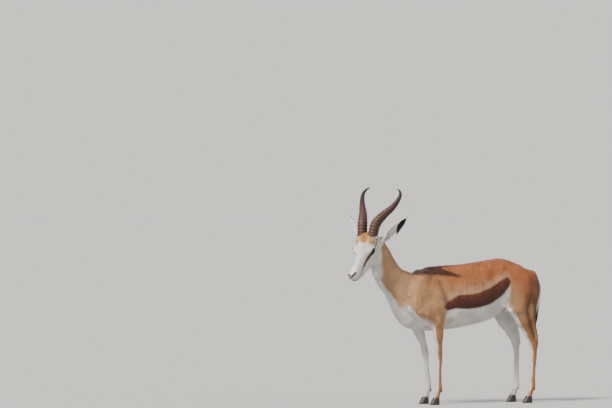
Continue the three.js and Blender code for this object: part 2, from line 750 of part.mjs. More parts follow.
// Small shapes that are cut into the head or joined to it, on its left side
function lid() {
  const ring = new THREE.TorusGeometry(1, 0.25, 5, 14);
  return mergedBare(ring).scale(15.5, 12.5, 15).translate(0, 0, 8.5).applyMatrix4(eyeFrame);
}
function eyeOpening() {
  return mergedBare(new THREE.SphereGeometry(1, 12, 6))
    .scale(14, 10.5, 13)
    .translate(0, 0, 16)
    .applyMatrix4(eyeFrame);
}
function nostril() {
  return mergedBare(new THREE.SphereGeometry(1, 8, 6))
    .scale(9, 3, 6)
    .rotateY(rad(28))
    .rotateZ(rad(35))
    .translate(254, 17, -13);
}
const MOUTH = [V(262, 6, -38), V(248, 19, -38), V(228, 23, -39), V(206, 25.5, -42), V(192, 27, -46)];
function mouth() {
  const line = new THREE.CatmullRomCurve3(MOUTH);
  const rings = [];
  for (let i = 0; i <= 7; i++) {
    const centre = line.getPoint(i / 7);
    const along = line.getTangent(i / 7);
    const up = V(0, 0, 1).addScaledVector(along, -along.z).normalize();
    const out = new THREE.Vector3().crossVectors(along, up);
    const size = i === 7 ? 0.3 : 1;
    rings.push(
      [0, 1, 2, 3].map((k) => {
        const a = (k / 2) * Math.PI;
        return centre
          .clone()
          .addScaledVector(out, 6 * size * Math.cos(a))
          .addScaledVector(up, 1.5 * size * Math.sin(a));
      }),
    );
  }
  return loft(rings);
}

function headSolid() {
  const mesh = surfaceOf(body, headFrame, V(-60, -92, -112), V(285, 92, 96), V(12.5, 9.4, 9));
  let made = solid(mesh).intersect(beyond(NECK_HEAD, GAP / 2));
  for (const side of [LEFT, RIGHT]) {
    const shape = (geometry) => solid(onHead(geometry, side));
    made = made
      .subtract(shape(eyeOpening()))
      .add(shape(lid()))
      .subtract(shape(eyeGeometry(EYE_RADIUS + GAP)))
      .subtract(shape(hornGeometry(0.4)))
      .subtract(shape(earGeometry(0.4)))
      .subtract(shape(nostril()))
      .subtract(shape(mouth()));
  }
  return largest(made);
}

// One claw of a hoof, from the coronet to the ground. Its outline from above is a pointed oval,
// flat on the side that faces its twin.
function hoofSolid(legName, inner) {
  const { side, hoofX } = LEGS[legName];
  const track = legName.startsWith("hind") ? HIND_TRACK : FORE_TRACK;
  const away = inner ? -side : side;
  const rings = [
    { z: 0, toe: 37, heel: 17, half: 17.5 },
    { z: 5, toe: 36, heel: 18.5, half: 18.5 },
    { z: 22, toe: 26, heel: 18.5, half: 18.5 },
    { z: CORONET, toe: 17, heel: 16, half: 17 },
  ].map(({ z, toe, heel, half }) => {
    const ring = [];
    for (let i = 0; i < 10; i++) {
      const a = (i / 10) * 2 * Math.PI;
      const forward = Math.cos(a);
      const x = hoofX - (forward > 0 ? toe * forward ** 1.15 : heel * forward);
      const outward = Math.sin(a);
      const y = outward > 0 ? 1.2 + (half - 1.2) * outward ** 0.85 : 0.9;
      ring.push(V(x, side * track + away * y, z));
    }
    return away > 0 ? ring.reverse() : ring;
  });
  return solid(loft(rings));
}

// The tail: a round dock with a tuft of flat, pointed, overlapping locks
const TAIL = [V(403.2, 0, 655.8), V(416, 0, 632), V(421, 0, 590), V(415, 0, 530), V(406, 0, 470)];
const LOCKS = 9;
const TUFT_END = 404;

function tailSolid() {
  const line = new THREE.CatmullRomCurve3(TAIL);
  const radii = [11.4, 11, 9, 8, 5];
  const rings = [];
  for (let i = 0; i <= 8; i++) {
    const t = i / 8;
    const s = t * 4;
    const k = Math.min(Math.floor(s), 3);
    const r = THREE.MathUtils.lerp(radii[k], radii[k + 1], s - k);
    const normal = i === 0 ? TAIL_ROOT.normal.clone().normalize() : line.getTangent(t);
    const front = new THREE.Vector3().crossVectors(V(0, 1, 0), normal).normalize();
    const centre = i === 0 ? TAIL_ROOT.at.clone().addScaledVector(normal, GAP / 2) : line.getPoint(t);
    const ring = [];
    for (let j = 0; j < 8; j++) {
      const a = (j / 8) * 2 * Math.PI;
      ring.push(
        centre
          .clone()
          .addScaledVector(front, r * Math.cos(a))
          .addScaledVector(V(0, 1, 0), r * Math.sin(a)),
      );
    }
    rings.push(ring);
  }
  let made = solid(loft(rings));
  for (let i = 0; i < LOCKS; i++) {
    const turn = i * 2.399; // spread evenly round the dock
    const start = 0.45 + (0.42 * i) / LOCKS;
    const root = line.getPoint(start);
    const out = V(Math.cos(turn), Math.sin(turn), 0);
    const tip = V(398 + 5 * out.x, 7 * out.y, TUFT_END + 26 * (1 - i / LOCKS) ** 1.5);
    const path = new THREE.QuadraticBezierCurve3(
      root.clone().addScaledVector(out, 3),
      root.clone().lerp(tip, 0.45).addScaledVector(out, 12),
      tip,
    );
    const flat = new THREE.Vector3().crossVectors(out, V(0, 0, 1));
    const rings = [
      [0, 6, 3],
      [0.35, 9.5, 3.4],
      [0.75, 6, 2.4],
      [1, 0.5, 0.5],
    ].map(([t, wide, thick]) => {
      const c = path.getPoint(t);
      return [0, 1, 2, 3].map((k) => {
        const a = (k / 2) * Math.PI;
        return c.clone().addScaledVector(flat, wide * Math.cos(a)).addScaledVector(out, thick * Math.sin(a));
      });
    });
    made = made.add(solid(loft(rings)));
  }
  return largest(made);
}

const paint = (color, roughness, metalness = 0) =>
  new THREE.MeshStandardMaterial({ color, roughness, metalness });
const cinnamon = paint(0xb06a36, 0.85);
const fawn = paint(0xc08a58, 0.85);
const white = paint(0xe9e2d6, 0.85);
const hornBrown = paint(0x4c332a, 0.55);
const hoofBlack = paint(0x2c2622, 0.5);
const eyeBrown = paint(0x241510, 0.12);

const ram = new THREE.Group();
function add(name, made, material) {
  const geometry = dropTinyEdges(geometryOf(made));
  const mesh = new THREE.Mesh(geometry, material);
  mesh.name = name;
  ram.add(mesh);
}

add("torso", torsoSolid(), cinnamon);
add("neck", neckSolid(), fawn);
add("head", headSolid(), white);
for (const [word, side] of [["left", LEFT], ["right", RIGHT]]) {
  add(`ear_${word}`, solid(onHead(earGeometry(), side)), white);
  add(`eye_${word}`, solid(onHead(eyeGeometry(EYE_RADIUS), side)), eyeBrown);
  add(`horn_${word}`, solid(onHead(hornGeometry(), side)), hornBrown);
}
for (const name of Object.keys(LEGS)) {
  add(name, legSolid(name), fawn);
  const hoof = name.replace("leg", "");
  add(`hoof_${hoof}_inner`, hoofSolid(name, true), hoofBlack);
  add(`hoof_${hoof}_outer`, hoofSolid(name, false), hoofBlack);
}
add("tail", tailSolid(), white);

// The middle of the footprint goes to the origin
const box = new THREE.Box3().setFromObject(ram);
for (const mesh of ram.children) mesh.geometry.translate(-(box.min.x + box.max.x) / 2, -(box.min.y + box.max.y) / 2, 0);

export default ram;
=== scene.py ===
# %% [markdown]
# A springbok ram stands still, life size, as a museum would show it. The imported solids give its true
# sizes, and this lesson dresses them: one skin, horns, ears, eyes, hooves and tail, and a short coat
# of fur. Every length is in metres, +Z is up, and the ram faces -X with its left side to -Y.

# %% Load the solids and read their boxes
import math

import bpy
import numpy as np
from mathutils import Matrix, Vector


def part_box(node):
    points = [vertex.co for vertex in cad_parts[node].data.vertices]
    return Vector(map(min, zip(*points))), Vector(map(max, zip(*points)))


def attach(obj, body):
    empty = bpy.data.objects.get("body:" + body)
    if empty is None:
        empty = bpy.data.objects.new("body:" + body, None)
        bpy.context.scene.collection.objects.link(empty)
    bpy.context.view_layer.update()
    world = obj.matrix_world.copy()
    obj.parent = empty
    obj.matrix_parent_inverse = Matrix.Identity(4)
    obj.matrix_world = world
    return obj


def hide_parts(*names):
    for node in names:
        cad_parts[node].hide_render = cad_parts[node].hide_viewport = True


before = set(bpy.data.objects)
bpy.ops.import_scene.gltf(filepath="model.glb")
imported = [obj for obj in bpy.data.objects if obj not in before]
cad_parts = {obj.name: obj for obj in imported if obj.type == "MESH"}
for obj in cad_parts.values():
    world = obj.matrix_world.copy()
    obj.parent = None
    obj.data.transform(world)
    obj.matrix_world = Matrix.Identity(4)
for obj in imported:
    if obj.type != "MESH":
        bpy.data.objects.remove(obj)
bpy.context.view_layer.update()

MM = 0.001
LEFT, RIGHT = -1, 1
SIDES = {"left": LEFT, "right": RIGHT}
LEGS = ["foreleg_left", "foreleg_right", "hindleg_left", "hindleg_right"]
FLESH = ["torso", "neck", "head", *LEGS]

# %% [markdown]
# The body and the head each have a direction of their own. The middle plane lies half way between
# the hooves. The head's frame has X towards the nose, Y to the head's left and Z up, and is counted
# in millimetres of a head 265 long, because that is how a skull is measured. It hangs on the eyes.

# %% The middle plane and the head's frame
def middle(node):
    low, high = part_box(node)
    return (low + high) / 2


MID_Y = (middle("hoof_fore_left_outer").y + middle("hoof_fore_right_outer").y) / 2
HEAD_TURN, HEAD_PITCH, HEAD_ROLL = 32, 37, -2.4
HEAD_UNIT = 1.13 * MM
EYE = Vector((97, 39, 12))
EYE_LOOKS = Vector((0.3, 0.93, 0.1)).normalized()
EYE_RADIUS = 16  # in the head's millimetres, like EYE

head_axes = (
    Matrix.Rotation(math.radians(180 + HEAD_TURN), 3, "Z")
    @ Matrix.Rotation(math.radians(HEAD_PITCH), 3, "Y")
    @ Matrix.Rotation(math.radians(HEAD_ROLL), 3, "X")
)
between_eyes = (middle("eye_left") + middle("eye_right")) / 2
head_origin = between_eyes - head_axes @ Vector((EYE.x, 0, EYE.z)) * HEAD_UNIT
HEAD = Matrix.Translation(head_origin) @ (head_axes * HEAD_UNIT).to_4x4()
TO_HEAD = HEAD.inverted()


def moved_by(matrix, points):
    m = np.array(matrix)
    return points @ m[:3, :3].T + m[:3, 3]


def unit(vectors):
    return vectors / np.linalg.norm(vectors, axis=-1, keepdims=True)


def turned_by(matrix, vectors):
    return unit(vectors @ np.array(matrix)[:3, :3].T)


print("middle plane", round(MID_Y, 4), "head origin", [round(v, 4) for v in head_origin])

# %% [markdown]
# Blender's operators act on what is selected, so each step starts from an empty selection. These
# helpers leave one object selected, apply its modifiers, and join several objects into one.

# %% Select, apply and join
def only(obj):
    if bpy.context.object and bpy.context.object.mode != "OBJECT":
        bpy.ops.object.mode_set(mode="OBJECT")
    bpy.ops.object.select_all(action="DESELECT")
    obj.select_set(True)
    bpy.context.view_layer.objects.active = obj


def apply_all(obj):
    only(obj)
    for modifier in list(obj.modifiers):
        bpy.ops.object.modifier_apply(modifier=modifier.name)


def join(objects, name):
    only(objects[0])
    for obj in objects:
        obj.select_set(True)
    if len(objects) > 1:
        bpy.ops.object.join()
    objects[0].name = name
    objects[0].data.name = name
    return objects[0]


# %% [markdown]
# A mesh of many points is read and moved as one array, which is far quicker than point by point. A
# finished mesh has its seams merged and its normals recalculated, so that every face looks outwards.

# %% Read, move and tidy points
WELD = 1e-6  # metres between points that belong together


def read_rows(items, field, width, kind=np.float32):
    """One row of numbers for each point, edge, face or corner."""
    values = np.empty(len(items) * width, kind)
    items.foreach_get(field, values)
    return values.reshape(-1, width)


def points_of(obj):
    return read_rows(obj.data.vertices, "co", 3).astype(float)


def normals_of(obj):
    obj.data.update()
    return read_rows(obj.data.vertex_normals, "vector", 3).astype(float)


def put_points(obj, points):
    obj.data.vertices.foreach_set("co", points.astype(np.float32).ravel())
    obj.data.update()


def edit_all(obj):
    only(obj)
    bpy.ops.object.mode_set(mode="EDIT")
    bpy.ops.mesh.select_all(action="SELECT")


def tidy_normals(obj):
    edit_all(obj)
    bpy.ops.mesh.remove_doubles(threshold=WELD)
    bpy.ops.mesh.normals_make_consistent(inside=False)
    bpy.ops.object.mode_set(mode="OBJECT")
    bpy.ops.object.shade_smooth()


# %% [markdown]
# Horns, ears, hooves, lids and the tail are lofted. A grid is added, its two directions become
# "around" and "along", every point is placed by a formula, and the seam is merged. A spline through
# a few stations gives a long piece its smooth middle line, with a front and a side to build on.

# %% Loft along a smooth line
def loft(name, around, along, place, caps=False):
    """place(turn, t) gives points for arrays of turns round the piece and shares of its length."""
    bpy.ops.object.select_all(action="DESELECT")
    bpy.ops.mesh.primitive_grid_add(x_subdivisions=around, y_subdivisions=along, size=1)
    obj = bpy.context.object
    obj.name = obj.data.name = name
    grid = points_of(obj)
    put_points(obj, place(grid[:, 0] + 0.5, grid[:, 1] + 0.5))
    if caps:
        edit_all(obj)
        bpy.ops.mesh.remove_doubles(threshold=WELD)
        bpy.ops.mesh.fill_holes(sides=around + 2)
        bpy.ops.object.mode_set(mode="OBJECT")
    tidy_normals(obj)
    return obj


def smooth_line(stations, shares, steps=40):
    """Points on a smooth line through the stations, at shares of its length."""
    p = np.array(stations, float)
    ghosts = np.vstack([2 * p[0] - p[1], p, 2 * p[-1] - p[-2]])
    s = np.linspace(0, 1, steps)[:, None]
    fine = []
    for a, b, c, d in zip(ghosts, ghosts[1:], ghosts[2:], ghosts[3:]):
        ta = np.linalg.norm(b - a) ** 0.5
        tb = max(np.linalg.norm(c - b) ** 0.5, 1e-9)
        tc = np.linalg.norm(d - c) ** 0.5
        start = ((b - a) / ta - (c - a) / (ta + tb) + (c - b) / tb) * tb
        end = ((c - b) / tb - (d - b) / (tb + tc) + (d - c) / tc) * tb
        fine.append(
            (2 * s**3 - 3 * s**2 + 1) * b + (s**3 - 2 * s**2 + s) * start
            + (3 * s**2 - 2 * s**3) * c + (s**3 - s**2) * end
        )
    fine = np.vstack(fine)
    reach = np.concatenate([[0], np.cumsum(np.linalg.norm(np.diff(fine, axis=0), axis=1))])
    want = np.asarray(shares) * reach[-1]
    return np.stack([np.interp(want, reach, fine[:, k]) for k in range(3)], axis=-1)


def frame_along(stations, t):
    """Middle, front and side of the line through the stations, at each share of its length."""
    rows = np.unique(t)
    line = smooth_line(stations, rows)
    along = unit(np.gradient(line, axis=0))
    across = unit(np.array([0, 1, 0]) - along * along[:, 1:2])
    row = np.searchsorted(rows, t)
    return line[row], np.cross(across, along)[row], across[row]


# %% [markdown]
# Most shapes and all markings blend softly into each other, so two small curves are used everywhere.

# %% Ease in and fade out
def ease(x, low, high):
    """0 below low, 1 above high, and smooth between them."""
    t = np.clip((x - low) / (high - low), 0, 1)
    return t * t * (3 - 2 * t)


def fade(x, low, high):
    """1 below low, 0 above high, and smooth between them."""
    return 1 - ease(x, low, high)


# %% [markdown]
# The skin. On the ram it is one hide over neck, trunk and limbs. The solids are parted by thin cuts,
# so their copies are joined and voxel remeshed into one closed shape. Plugs fill the seats of eyes,
# horns and ears first, and build up the haired crown that the horns rise from.

# %% One closed skin from the solids of flesh
BODY_CELL = 5.4 * MM
PLUGS = {  # places in the head's frame, with radii
    "eye": (EYE, 15.5),
    "horn": (Vector((35, 25, 41)), 28),
    "horn front": (Vector((52, 25, 34)), 30),
    "crown": (Vector((42, 8, 42)), 27),
    "ear": (Vector((12, 46, 1)), 16),
    "ear foot": (Vector((5, 55, 6)), 13.5),
}


def copy_of(node):
    obj = bpy.data.objects.new("copy_" + node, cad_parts[node].data.copy())
    bpy.context.collection.objects.link(obj)
    tidy_normals(obj)
    return obj


def on_side(place, side):
    """A place or a direction given for the head's left, put on one side of it."""
    return Vector((place[0], -side * place[1], place[2]))


def plug(place, radius, side):
    bpy.ops.object.select_all(action="DESELECT")
    bpy.ops.mesh.primitive_uv_sphere_add(
        segments=24, ring_count=12, radius=radius * HEAD_UNIT, location=HEAD @ on_side(place, side),
    )
    return bpy.context.object


flesh = [copy_of(node) for node in FLESH]
flesh += [plug(*PLUGS[kind], side) for kind in PLUGS for side in SIDES.values()]
skin = join(flesh, "skin")
only(skin)
bpy.ops.object.transform_apply(location=True, rotation=True, scale=True)
remesh = skin.modifiers.new("one hide", "REMESH")
remesh.mode = "VOXEL"
remesh.voxel_size = BODY_CELL
apply_all(skin)
print("hide", len(skin.data.vertices), "points")

# %% [markdown]
# The remesh keeps the facets of the solids. A smoothing that moves points in and out by turns takes
# short waves away and leaves thin legs as thick as they were. The trunk's facets are long, so it is
# smoothed more than the legs and the head.

# %% Smooth the facets away
def edges_of(obj):
    return read_rows(obj.data.edges, "vertices", 2, np.int32)


def smoothed(points, edges, rounds, push=0.5, pull=-0.53, share=1.0):
    a = np.concatenate([edges[:, 0], edges[:, 1]])
    b = np.concatenate([edges[:, 1], edges[:, 0]])
    count = np.maximum(np.bincount(a, minlength=len(points)), 1)[:, None]
    out = points.copy()
    for _ in range(rounds):
        for step in (push, pull):
            mean = np.stack(
                [np.bincount(a, weights=out[b, k], minlength=len(out)) for k in range(3)], axis=1
            ) / count
            out += (mean - out) * step * share
    return out


def in_head(points):
    return moved_by(TO_HEAD, points)


def trunkness(points):
    """1 on the trunk and neck, 0 on the legs and the head."""
    h = in_head(points)
    head = ease(h[:, 0], -60, 10) * ease(-h[:, 2], -140, -90)
    legs = fade(points[:, 2], 0.40, 0.50)
    return np.clip(1 - head, 0, 1) * (1 - legs)


skin_points, skin_edges = points_of(skin), edges_of(skin)
on_trunk = trunkness(skin_points)[:, None]
skin_points = smoothed(skin_points, skin_edges, rounds=26)
skin_points = smoothed(skin_points, skin_edges, rounds=160, push=0.6, pull=-0.61, share=on_trunk)
put_points(skin, skin_points)
print("smoothed", len(skin_points), "points,", int((on_trunk > 0.5).sum()), "of them on the trunk")

# %% [markdown]
# A face needs a finer mesh than a back. The head is subdivided once, then the nose and the mouth, and
# after one more smoothing the narrow strips where the nostrils and the mouth are cut in. Their
# stations are given for the head's left side, and both sides are folded onto it.

# %% Subdivide head, nose and mouth
NOSTRIL_STATIONS = [(262, 7, -11), (259, 13, -5), (252, 18.5, -1), (243, 21, 2), (238, 22, -1)]
MOUTH_STATIONS = [
    (264, 0, -39), (261, 8, -39), (249, 18, -39), (228, 23, -40), (206, 25.5, -43), (190, 27, -47),
]


def line_distance(points, line):
    """The distance of each point from a line of straight pieces."""
    line = np.array(line, float)
    best = np.full(len(points), np.inf)
    if len(line) == 1:
        return np.linalg.norm(points - line[0], axis=1)
    for a, b in zip(line[:-1], line[1:]):
        along = b - a
        t = np.clip((points - a) @ along / (along @ along), 0, 1)
        best = np.minimum(best, np.linalg.norm(points - a - t[:, None] * along, axis=1))
    return best


def folded(h):
    """Places on both sides of the head, laid onto its left side."""
    return np.stack([h[:, 0], np.abs(h[:, 1]), h[:, 2]], axis=1)


def subdivide_where(obj, wanted):
    only(obj)
    bpy.ops.object.mode_set(mode="EDIT")
    bpy.ops.mesh.select_mode(type="FACE")
    bpy.ops.mesh.select_all(action="DESELECT")
    bpy.ops.object.mode_set(mode="OBJECT")
    centres = read_rows(obj.data.polygons, "center", 3)
    obj.data.polygons.foreach_set("select", wanted(folded(in_head(centres))))
    bpy.ops.object.mode_set(mode="EDIT")
    bpy.ops.mesh.subdivide(number_cuts=1, quadcorner="INNERVERT")
    bpy.ops.object.mode_set(mode="OBJECT")


def near_the_cuts(h, from_nostril, from_mouth):
    by_nostril = line_distance(h, NOSTRIL_STATIONS) < from_nostril
    return by_nostril | (line_distance(h, MOUTH_STATIONS) < from_mouth)


subdivide_where(skin, lambda h: (h[:, 0] > -6) & (h[:, 2] > -115))
subdivide_where(skin, lambda h: near_the_cuts(h, 18, 15))
skin_points = points_of(skin)
on_head = 1 - trunkness(skin_points)[:, None]
put_points(skin, smoothed(skin_points, edges_of(skin), rounds=10, share=on_head))
subdivide_where(skin, lambda h: near_the_cuts(h, 8, 5.5))
skin_points = points_of(skin)
triangles = sum(len(face.vertices) - 2 for face in skin.data.polygons)
print("skin", len(skin_points), "points,", triangles, "triangles")

# %% [markdown]
# Bones and muscles show through a short coat. As in sculpting, a stroke follows a line and pushes
# the skin out or in around it, on both sides of the body. First the skin is sunk by the depth of its
# coat, so that the hair ends where the solids do.

# %% Sink the skin and prepare the strokes
def folded_body(points):
    """Millimetres along the body, off the middle plane and above the ground."""
    return np.stack([points[:, 0], np.abs(points[:, 1] - MID_Y), points[:, 2]], axis=1) / MM


def folded_head(points):
    return folded(in_head(points))


def coat_depth(points):
    return (1.0 + 1.6 * trunkness(points)) * MM


def sculpt(strokes, fold, millimetre):
    """Push the skin out by the height on each line, falling to nothing at its radius."""
    for line, radius, height in strokes:
        put_points(skin, skin_points)
        away = line_distance(fold(skin_points), line) / radius
        near = away < 1
        share = (1 - away[near] ** 2) ** 2
        skin_points[near] += normals_of(skin)[near] * (height * millimetre * share)[:, None]
    put_points(skin, skin_points)


depth = coat_depth(skin_points)
skin_points -= normals_of(skin) * depth[:, None]
print("skin sunk by", round(depth.min() / MM, 1), "to", round(depth.max() / MM, 1), "mm")

# %% [markdown]
# The strokes on the trunk and the legs. A line is given as place along the body, distance from the
# middle plane and height. The radius round it and the height of the push follow, in millimetres too.

# %% Strokes on the trunk and the legs
BODY_STROKES = [
    ([(-92, 50, 690), (-132, 70, 610), (-176, 82, 530)], 34, 4.0),  # shoulder blade
    ([(-190, 78, 512)], 34, 5.0),  # point of the shoulder
    ([(-120, 96, 500), (-66, 98, 520)], 48, 5.5),  # muscle behind the arm
    (  # hollow behind the shoulder
        [(-30, 88, 690), (-10, 102, 620), (14, 108, 550), (22, 100, 500)], 44, -7.5,
    ),
    ([(-150, 86, 470), (-118, 90, 440)], 24, -2.5),  # before the upper arm
    ([(-24, 96, 462)], 20, 3.5),  # elbow
    ([(-215, 0, 560), (-180, 0, 430)], 22, -5.0),  # groove of the breast
    ([(292, 84, 668), (300, 92, 610), (318, 86, 560)], 52, -9.0),  # hollow of the flank
    ([(352, 66, 722)], 30, 5.5),  # hip bone
    ([(470, 34, 742)], 34, 2.5),  # end of the croup
    ([(440, 98, 560)], 60, 5.0),  # big muscle of the thigh
    ([(60, 112, 560), (66, 108, 640)], 14, 1.2),  # ribs
    ([(104, 114, 560), (110, 108, 650)], 14, 1.3),
    ([(150, 114, 560), (158, 108, 650)], 14, 1.3),
    ([(198, 114, 575), (206, 108, 655)], 14, 1.1),
    ([(516, 78, 640), (500, 92, 560), (500, 92, 500)], 20, -3.5),  # groove behind the thigh
    ([(396, 108, 498)], 26, 4.5),  # kneecap
    ([(352, 88, 512), (384, 98, 494)], 20, 4.0),  # fold from flank to knee
    ([(516, 98, 440), (530, 96, 392), (540, 92, 350)], 11, -3.2),  # before the heel cord
    ([(516, 74, 440), (530, 76, 392), (540, 78, 350)], 11, -3.2),
    ([(546, 84, 318)], 12, 2.0),  # heel
    ([(-30, 90, 230), (-30, 82, 120)], 7, -1.2),
    ([(-26, 60, 230), (-26, 58, 120)], 7, -1.2),
    ([(530, 96, 262), (528, 88, 124)], 7, -1.4),  # grooves before the tendons
    ([(530, 66, 262), (528, 62, 124)], 7, -1.4),
    ([(-40, 76, 290)], 16, 1.4),  # front of the knee
    ([(-30, 94, 278)], 10, -1.2),
]
sculpt(BODY_STROKES, folded_body, MM)
print("strokes on the body", len(BODY_STROKES))

# %% [markdown]
# The strokes on the head, in its frame. Mouth, nostrils and the dark stripe are drawn as lines that
# are laid onto the skin by its nearest points, so that cut and colour sit in the same place. A floor
# is the same line sunk under the skin, where the bottom of the cut will be.

# %% Lay lines onto the head
from mathutils.bvhtree import BVHTree


def onto_skin(line, steps=30, depth=0):
    """A line in the head's frame, laid onto the left side of the skin or that deep under it."""
    tree = BVHTree.FromObject(skin, bpy.context.evaluated_depsgraph_get())
    laid = []
    for p in smooth_line(line, np.linspace(0, 1, steps)):
        at, outwards, _, _ = tree.find_nearest(HEAD @ on_side(p, LEFT))
        near = TO_HEAD @ (at - outwards * depth * HEAD_UNIT)
        laid.append((near.x, abs(near.y), near.z))
    return np.array(laid)


NOSTRIL, NOSTRIL_FLOOR = onto_skin(NOSTRIL_STATIONS), onto_skin(NOSTRIL_STATIONS, depth=5)
MOUTH, MOUTH_FLOOR = onto_skin(MOUTH_STATIONS), onto_skin(MOUTH_STATIONS, depth=2.4)
UPPER_LIP = onto_skin(MOUTH + [0, 0, 5.5])
LOWER_LIP = onto_skin(MOUTH - [1, 0, 5.5])
STRIPE_LINE = onto_skin([(46, 55, 44), (51, 57, 30), (64, 56, 18), (80, 52, 15)])
CHEEK_LINE = onto_skin([(106, 46, 4), (125, 42, -3), (152, 36, -16), (175, 32, -29), (187, 30, -39)])
print("mouth ends", [round(float(v), 1) for v in MOUTH[-1]])

# %% [markdown]
# With the lines laid, the face is sculpted like the body: a few broad strokes for bone and muscle, then
# the narrow ones for nose, lips and mouth, and a raised collar of skin round each horn and ear.

# %% Strokes on the head
def ring(centre, axis, radius):
    """Points on a ring round an axis, a twelfth of a turn apart."""
    axis = Vector(axis).normalized()
    arm = axis.orthogonal().normalized() * radius
    return [tuple(Vector(centre) + Matrix.Rotation(a * math.pi / 6, 3, axis) @ arm) for a in range(13)]


HEAD_STROKES = [
    ([(78, 46, 22), (94, 44, 28), (114, 37, 24)], 9, 2.6),  # brow
    ([(70, 46, -12), (100, 44, -16), (136, 34, -16)], 9, 2.0),  # cheek bone
    ([(122, 38, 4)], 8, -2.2),  # gland before the eye
    ([(60, 44, -40), (84, 40, -46)], 20, 2.2),  # cheek
    ([(118, 30, -36), (170, 24, -38)], 14, -2.4),  # hollow of the cheek
    ([(36, 46, 8)], 12, -2.0),  # temple
    ([(150, 12, 18), (215, 10, 4)], 8, 1.4),  # edges of the nose bone
    ([(238, 19, 0), (254, 15, -1)], 8, 2.2),  # wings of the nostrils
    ([(241, 22, -22), (256, 15, -24)], 8, 1.6),
    (NOSTRIL, 4.0, -6.0),
    ([(266, 0, -16), (264, 0, -38)], 3.0, -1.6),  # groove of the upper lip
    (UPPER_LIP, 5.5, 1.4),
    (LOWER_LIP, 5.5, 1.2),
    (MOUTH, 2.3, -3.0),
    ([(30, 34, -62), (90, 28, -78), (160, 20, -74)], 10, 1.5),  # edge of the jaw
    ([(0, 30, -52), (-10, 20, -80)], 20, -3.0),  # throat behind the jaw
    (ring((36, 28, 54), (-0.77, 0.13, 0.63), 27), 9, 2.6),  # collar of the horn
    (ring((3, 57, 5), (-0.69, 0.63, 0.36), 13), 9, 2.6),  # collar of the ear
]
sculpt(HEAD_STROKES, folded_head, HEAD_UNIT)
print("strokes on the head", len(HEAD_STROKES))

# %% [markdown]
# The lids. The eye's opening is an almond with its front corner drawn out into the tear duct. Cutting
# it into the hide would leave a ragged edge, so the lids are a ring lofted from the wet edge over the
# ball and out to the skin, whose height is found with rays, and the hide sinks under the ring.

# %% The eye's frame and its opening
LID_LONG, LID_UP, LID_DOWN = 13.2, 9.8, 8.4


def eye_frame(side):
    """Columns are the eye's long axis towards the nose, its up and its outward axis, in the head."""
    out = np.array(on_side(EYE_LOOKS, side))
    long_axis = np.array([1.0, 0, -0.16])
    long_axis = unit(long_axis - out * (long_axis @ out))
    up = np.cross(out, long_axis)
    return np.stack([long_axis, up * np.sign(up[2]), out], axis=1)


def lid_edge(c, s):
    """The distance of the lid's edge from the middle of the opening, in a direction."""
    edge = 1 / np.sqrt((c / LID_LONG) ** 2 + (s / np.where(s > 0, LID_UP, LID_DOWN)) ** 2)
    return edge * (1 + 0.16 * np.clip(c, 0, 1) ** 8 + 0.05 * np.clip(-c, 0, 1) ** 8)


def eye_places(points, side):
    """Places along the eye's long axis, up and out of it, and how far out from the opening's middle."""
    u, v, w = ((in_head(points) - np.array(on_side(EYE, side))) @ eye_frame(side)).T
    r = np.hypot(u, v) + 1e-6
    return u, v, w, r / lid_edge(u / r, v / r)


def from_eye(u, v, w, side):
    """The way back, from places in the eye's frame to points."""
    places = np.stack([u, v, w], axis=-1).reshape(-1, 3)
    return moved_by(HEAD, places @ eye_frame(side).T + np.array(on_side(EYE, side)))


opening = [round(v * HEAD_UNIT / MM) for v in (2 * LID_LONG, LID_UP + LID_DOWN)]
print("eye opens, in millimetres", opening)

# %% [markdown]
# Each row of the ring has its own distance from the opening and its own thickness: a wet edge, a
# plump rim, a fold and a brow that thins out into the hide.

# %% Two rings of lids over the eyes
LID_ROWS = np.array([  # how far out from the middle of the opening, thickness
    (0.88, -1.2), (0.955, 0.0), (0.98, 0.5), (1.0, 0.95), (1.035, 1.35), (1.09, 1.5), (1.20, 1.4),
    (1.34, 1.2), (1.44, 0.75), (1.52, 0.9), (1.64, 0.9), (1.78, 0.65), (1.92, 0.15), (2.06, -0.7),
    (2.2, -1.8),
])
RAY_START, NO_SKIN = 30.0, -6.0


def hide_height(tree, u, v, side):
    """How far the skin stands out from the eye's middle, found by rays from outside."""
    inwards = Vector(turned_by(HEAD, -eye_frame(side)[:, 2][None])[0])
    found = np.full(len(u), NO_SKIN)
    for i, start in enumerate(from_eye(u, v, np.full_like(u, RAY_START), side)):
        at, _, _, far = tree.ray_cast(Vector(start), inwards)
        if at:
            found[i] = RAY_START - far / HEAD_UNIT
    return found


def lid_points(side):
    tree = BVHTree.FromObject(skin, bpy.context.evaluated_depsgraph_get())

    def place(turn, t):
        c, s = np.cos(turn * 2 * math.pi), np.sin(turn * 2 * math.pi)
        row = t * (len(LID_ROWS) - 1)
        rho, thick = (np.interp(row, np.arange(len(LID_ROWS)), LID_ROWS[:, k]) for k in (0, 1))
        # The lower lid is thinner
        thick = np.where(s > 0, thick, thick * np.where(thick > 0, 0.8, 1))
        r = rho * lid_edge(c, s)
        hide = hide_height(tree, r * c, r * s, side)
        dome = np.sqrt(np.maximum(EYE_RADIUS**2 - r**2, 0))
        ball = np.where(r < EYE_RADIUS, dome, (EYE_RADIUS - r) * 1.3) + 0.3
        # The higher of ball and hide, with a soft bend where they meet
        low = hide - 0.4
        over = 0.5 * (ball + low + np.sqrt((ball - low) ** 2 + 2.0**2)) - 0.25
        to_ball = fade(rho, 1.0, 1.12) * (r < EYE_RADIUS * 0.8)
        over = np.where(rho < 1, ball, over + (ball - over) * to_ball)
        share = ease(rho, 1.3, 1.85)
        return from_eye(r * c, r * s, over * (1 - share) + hide * share + thick, side)

    return place


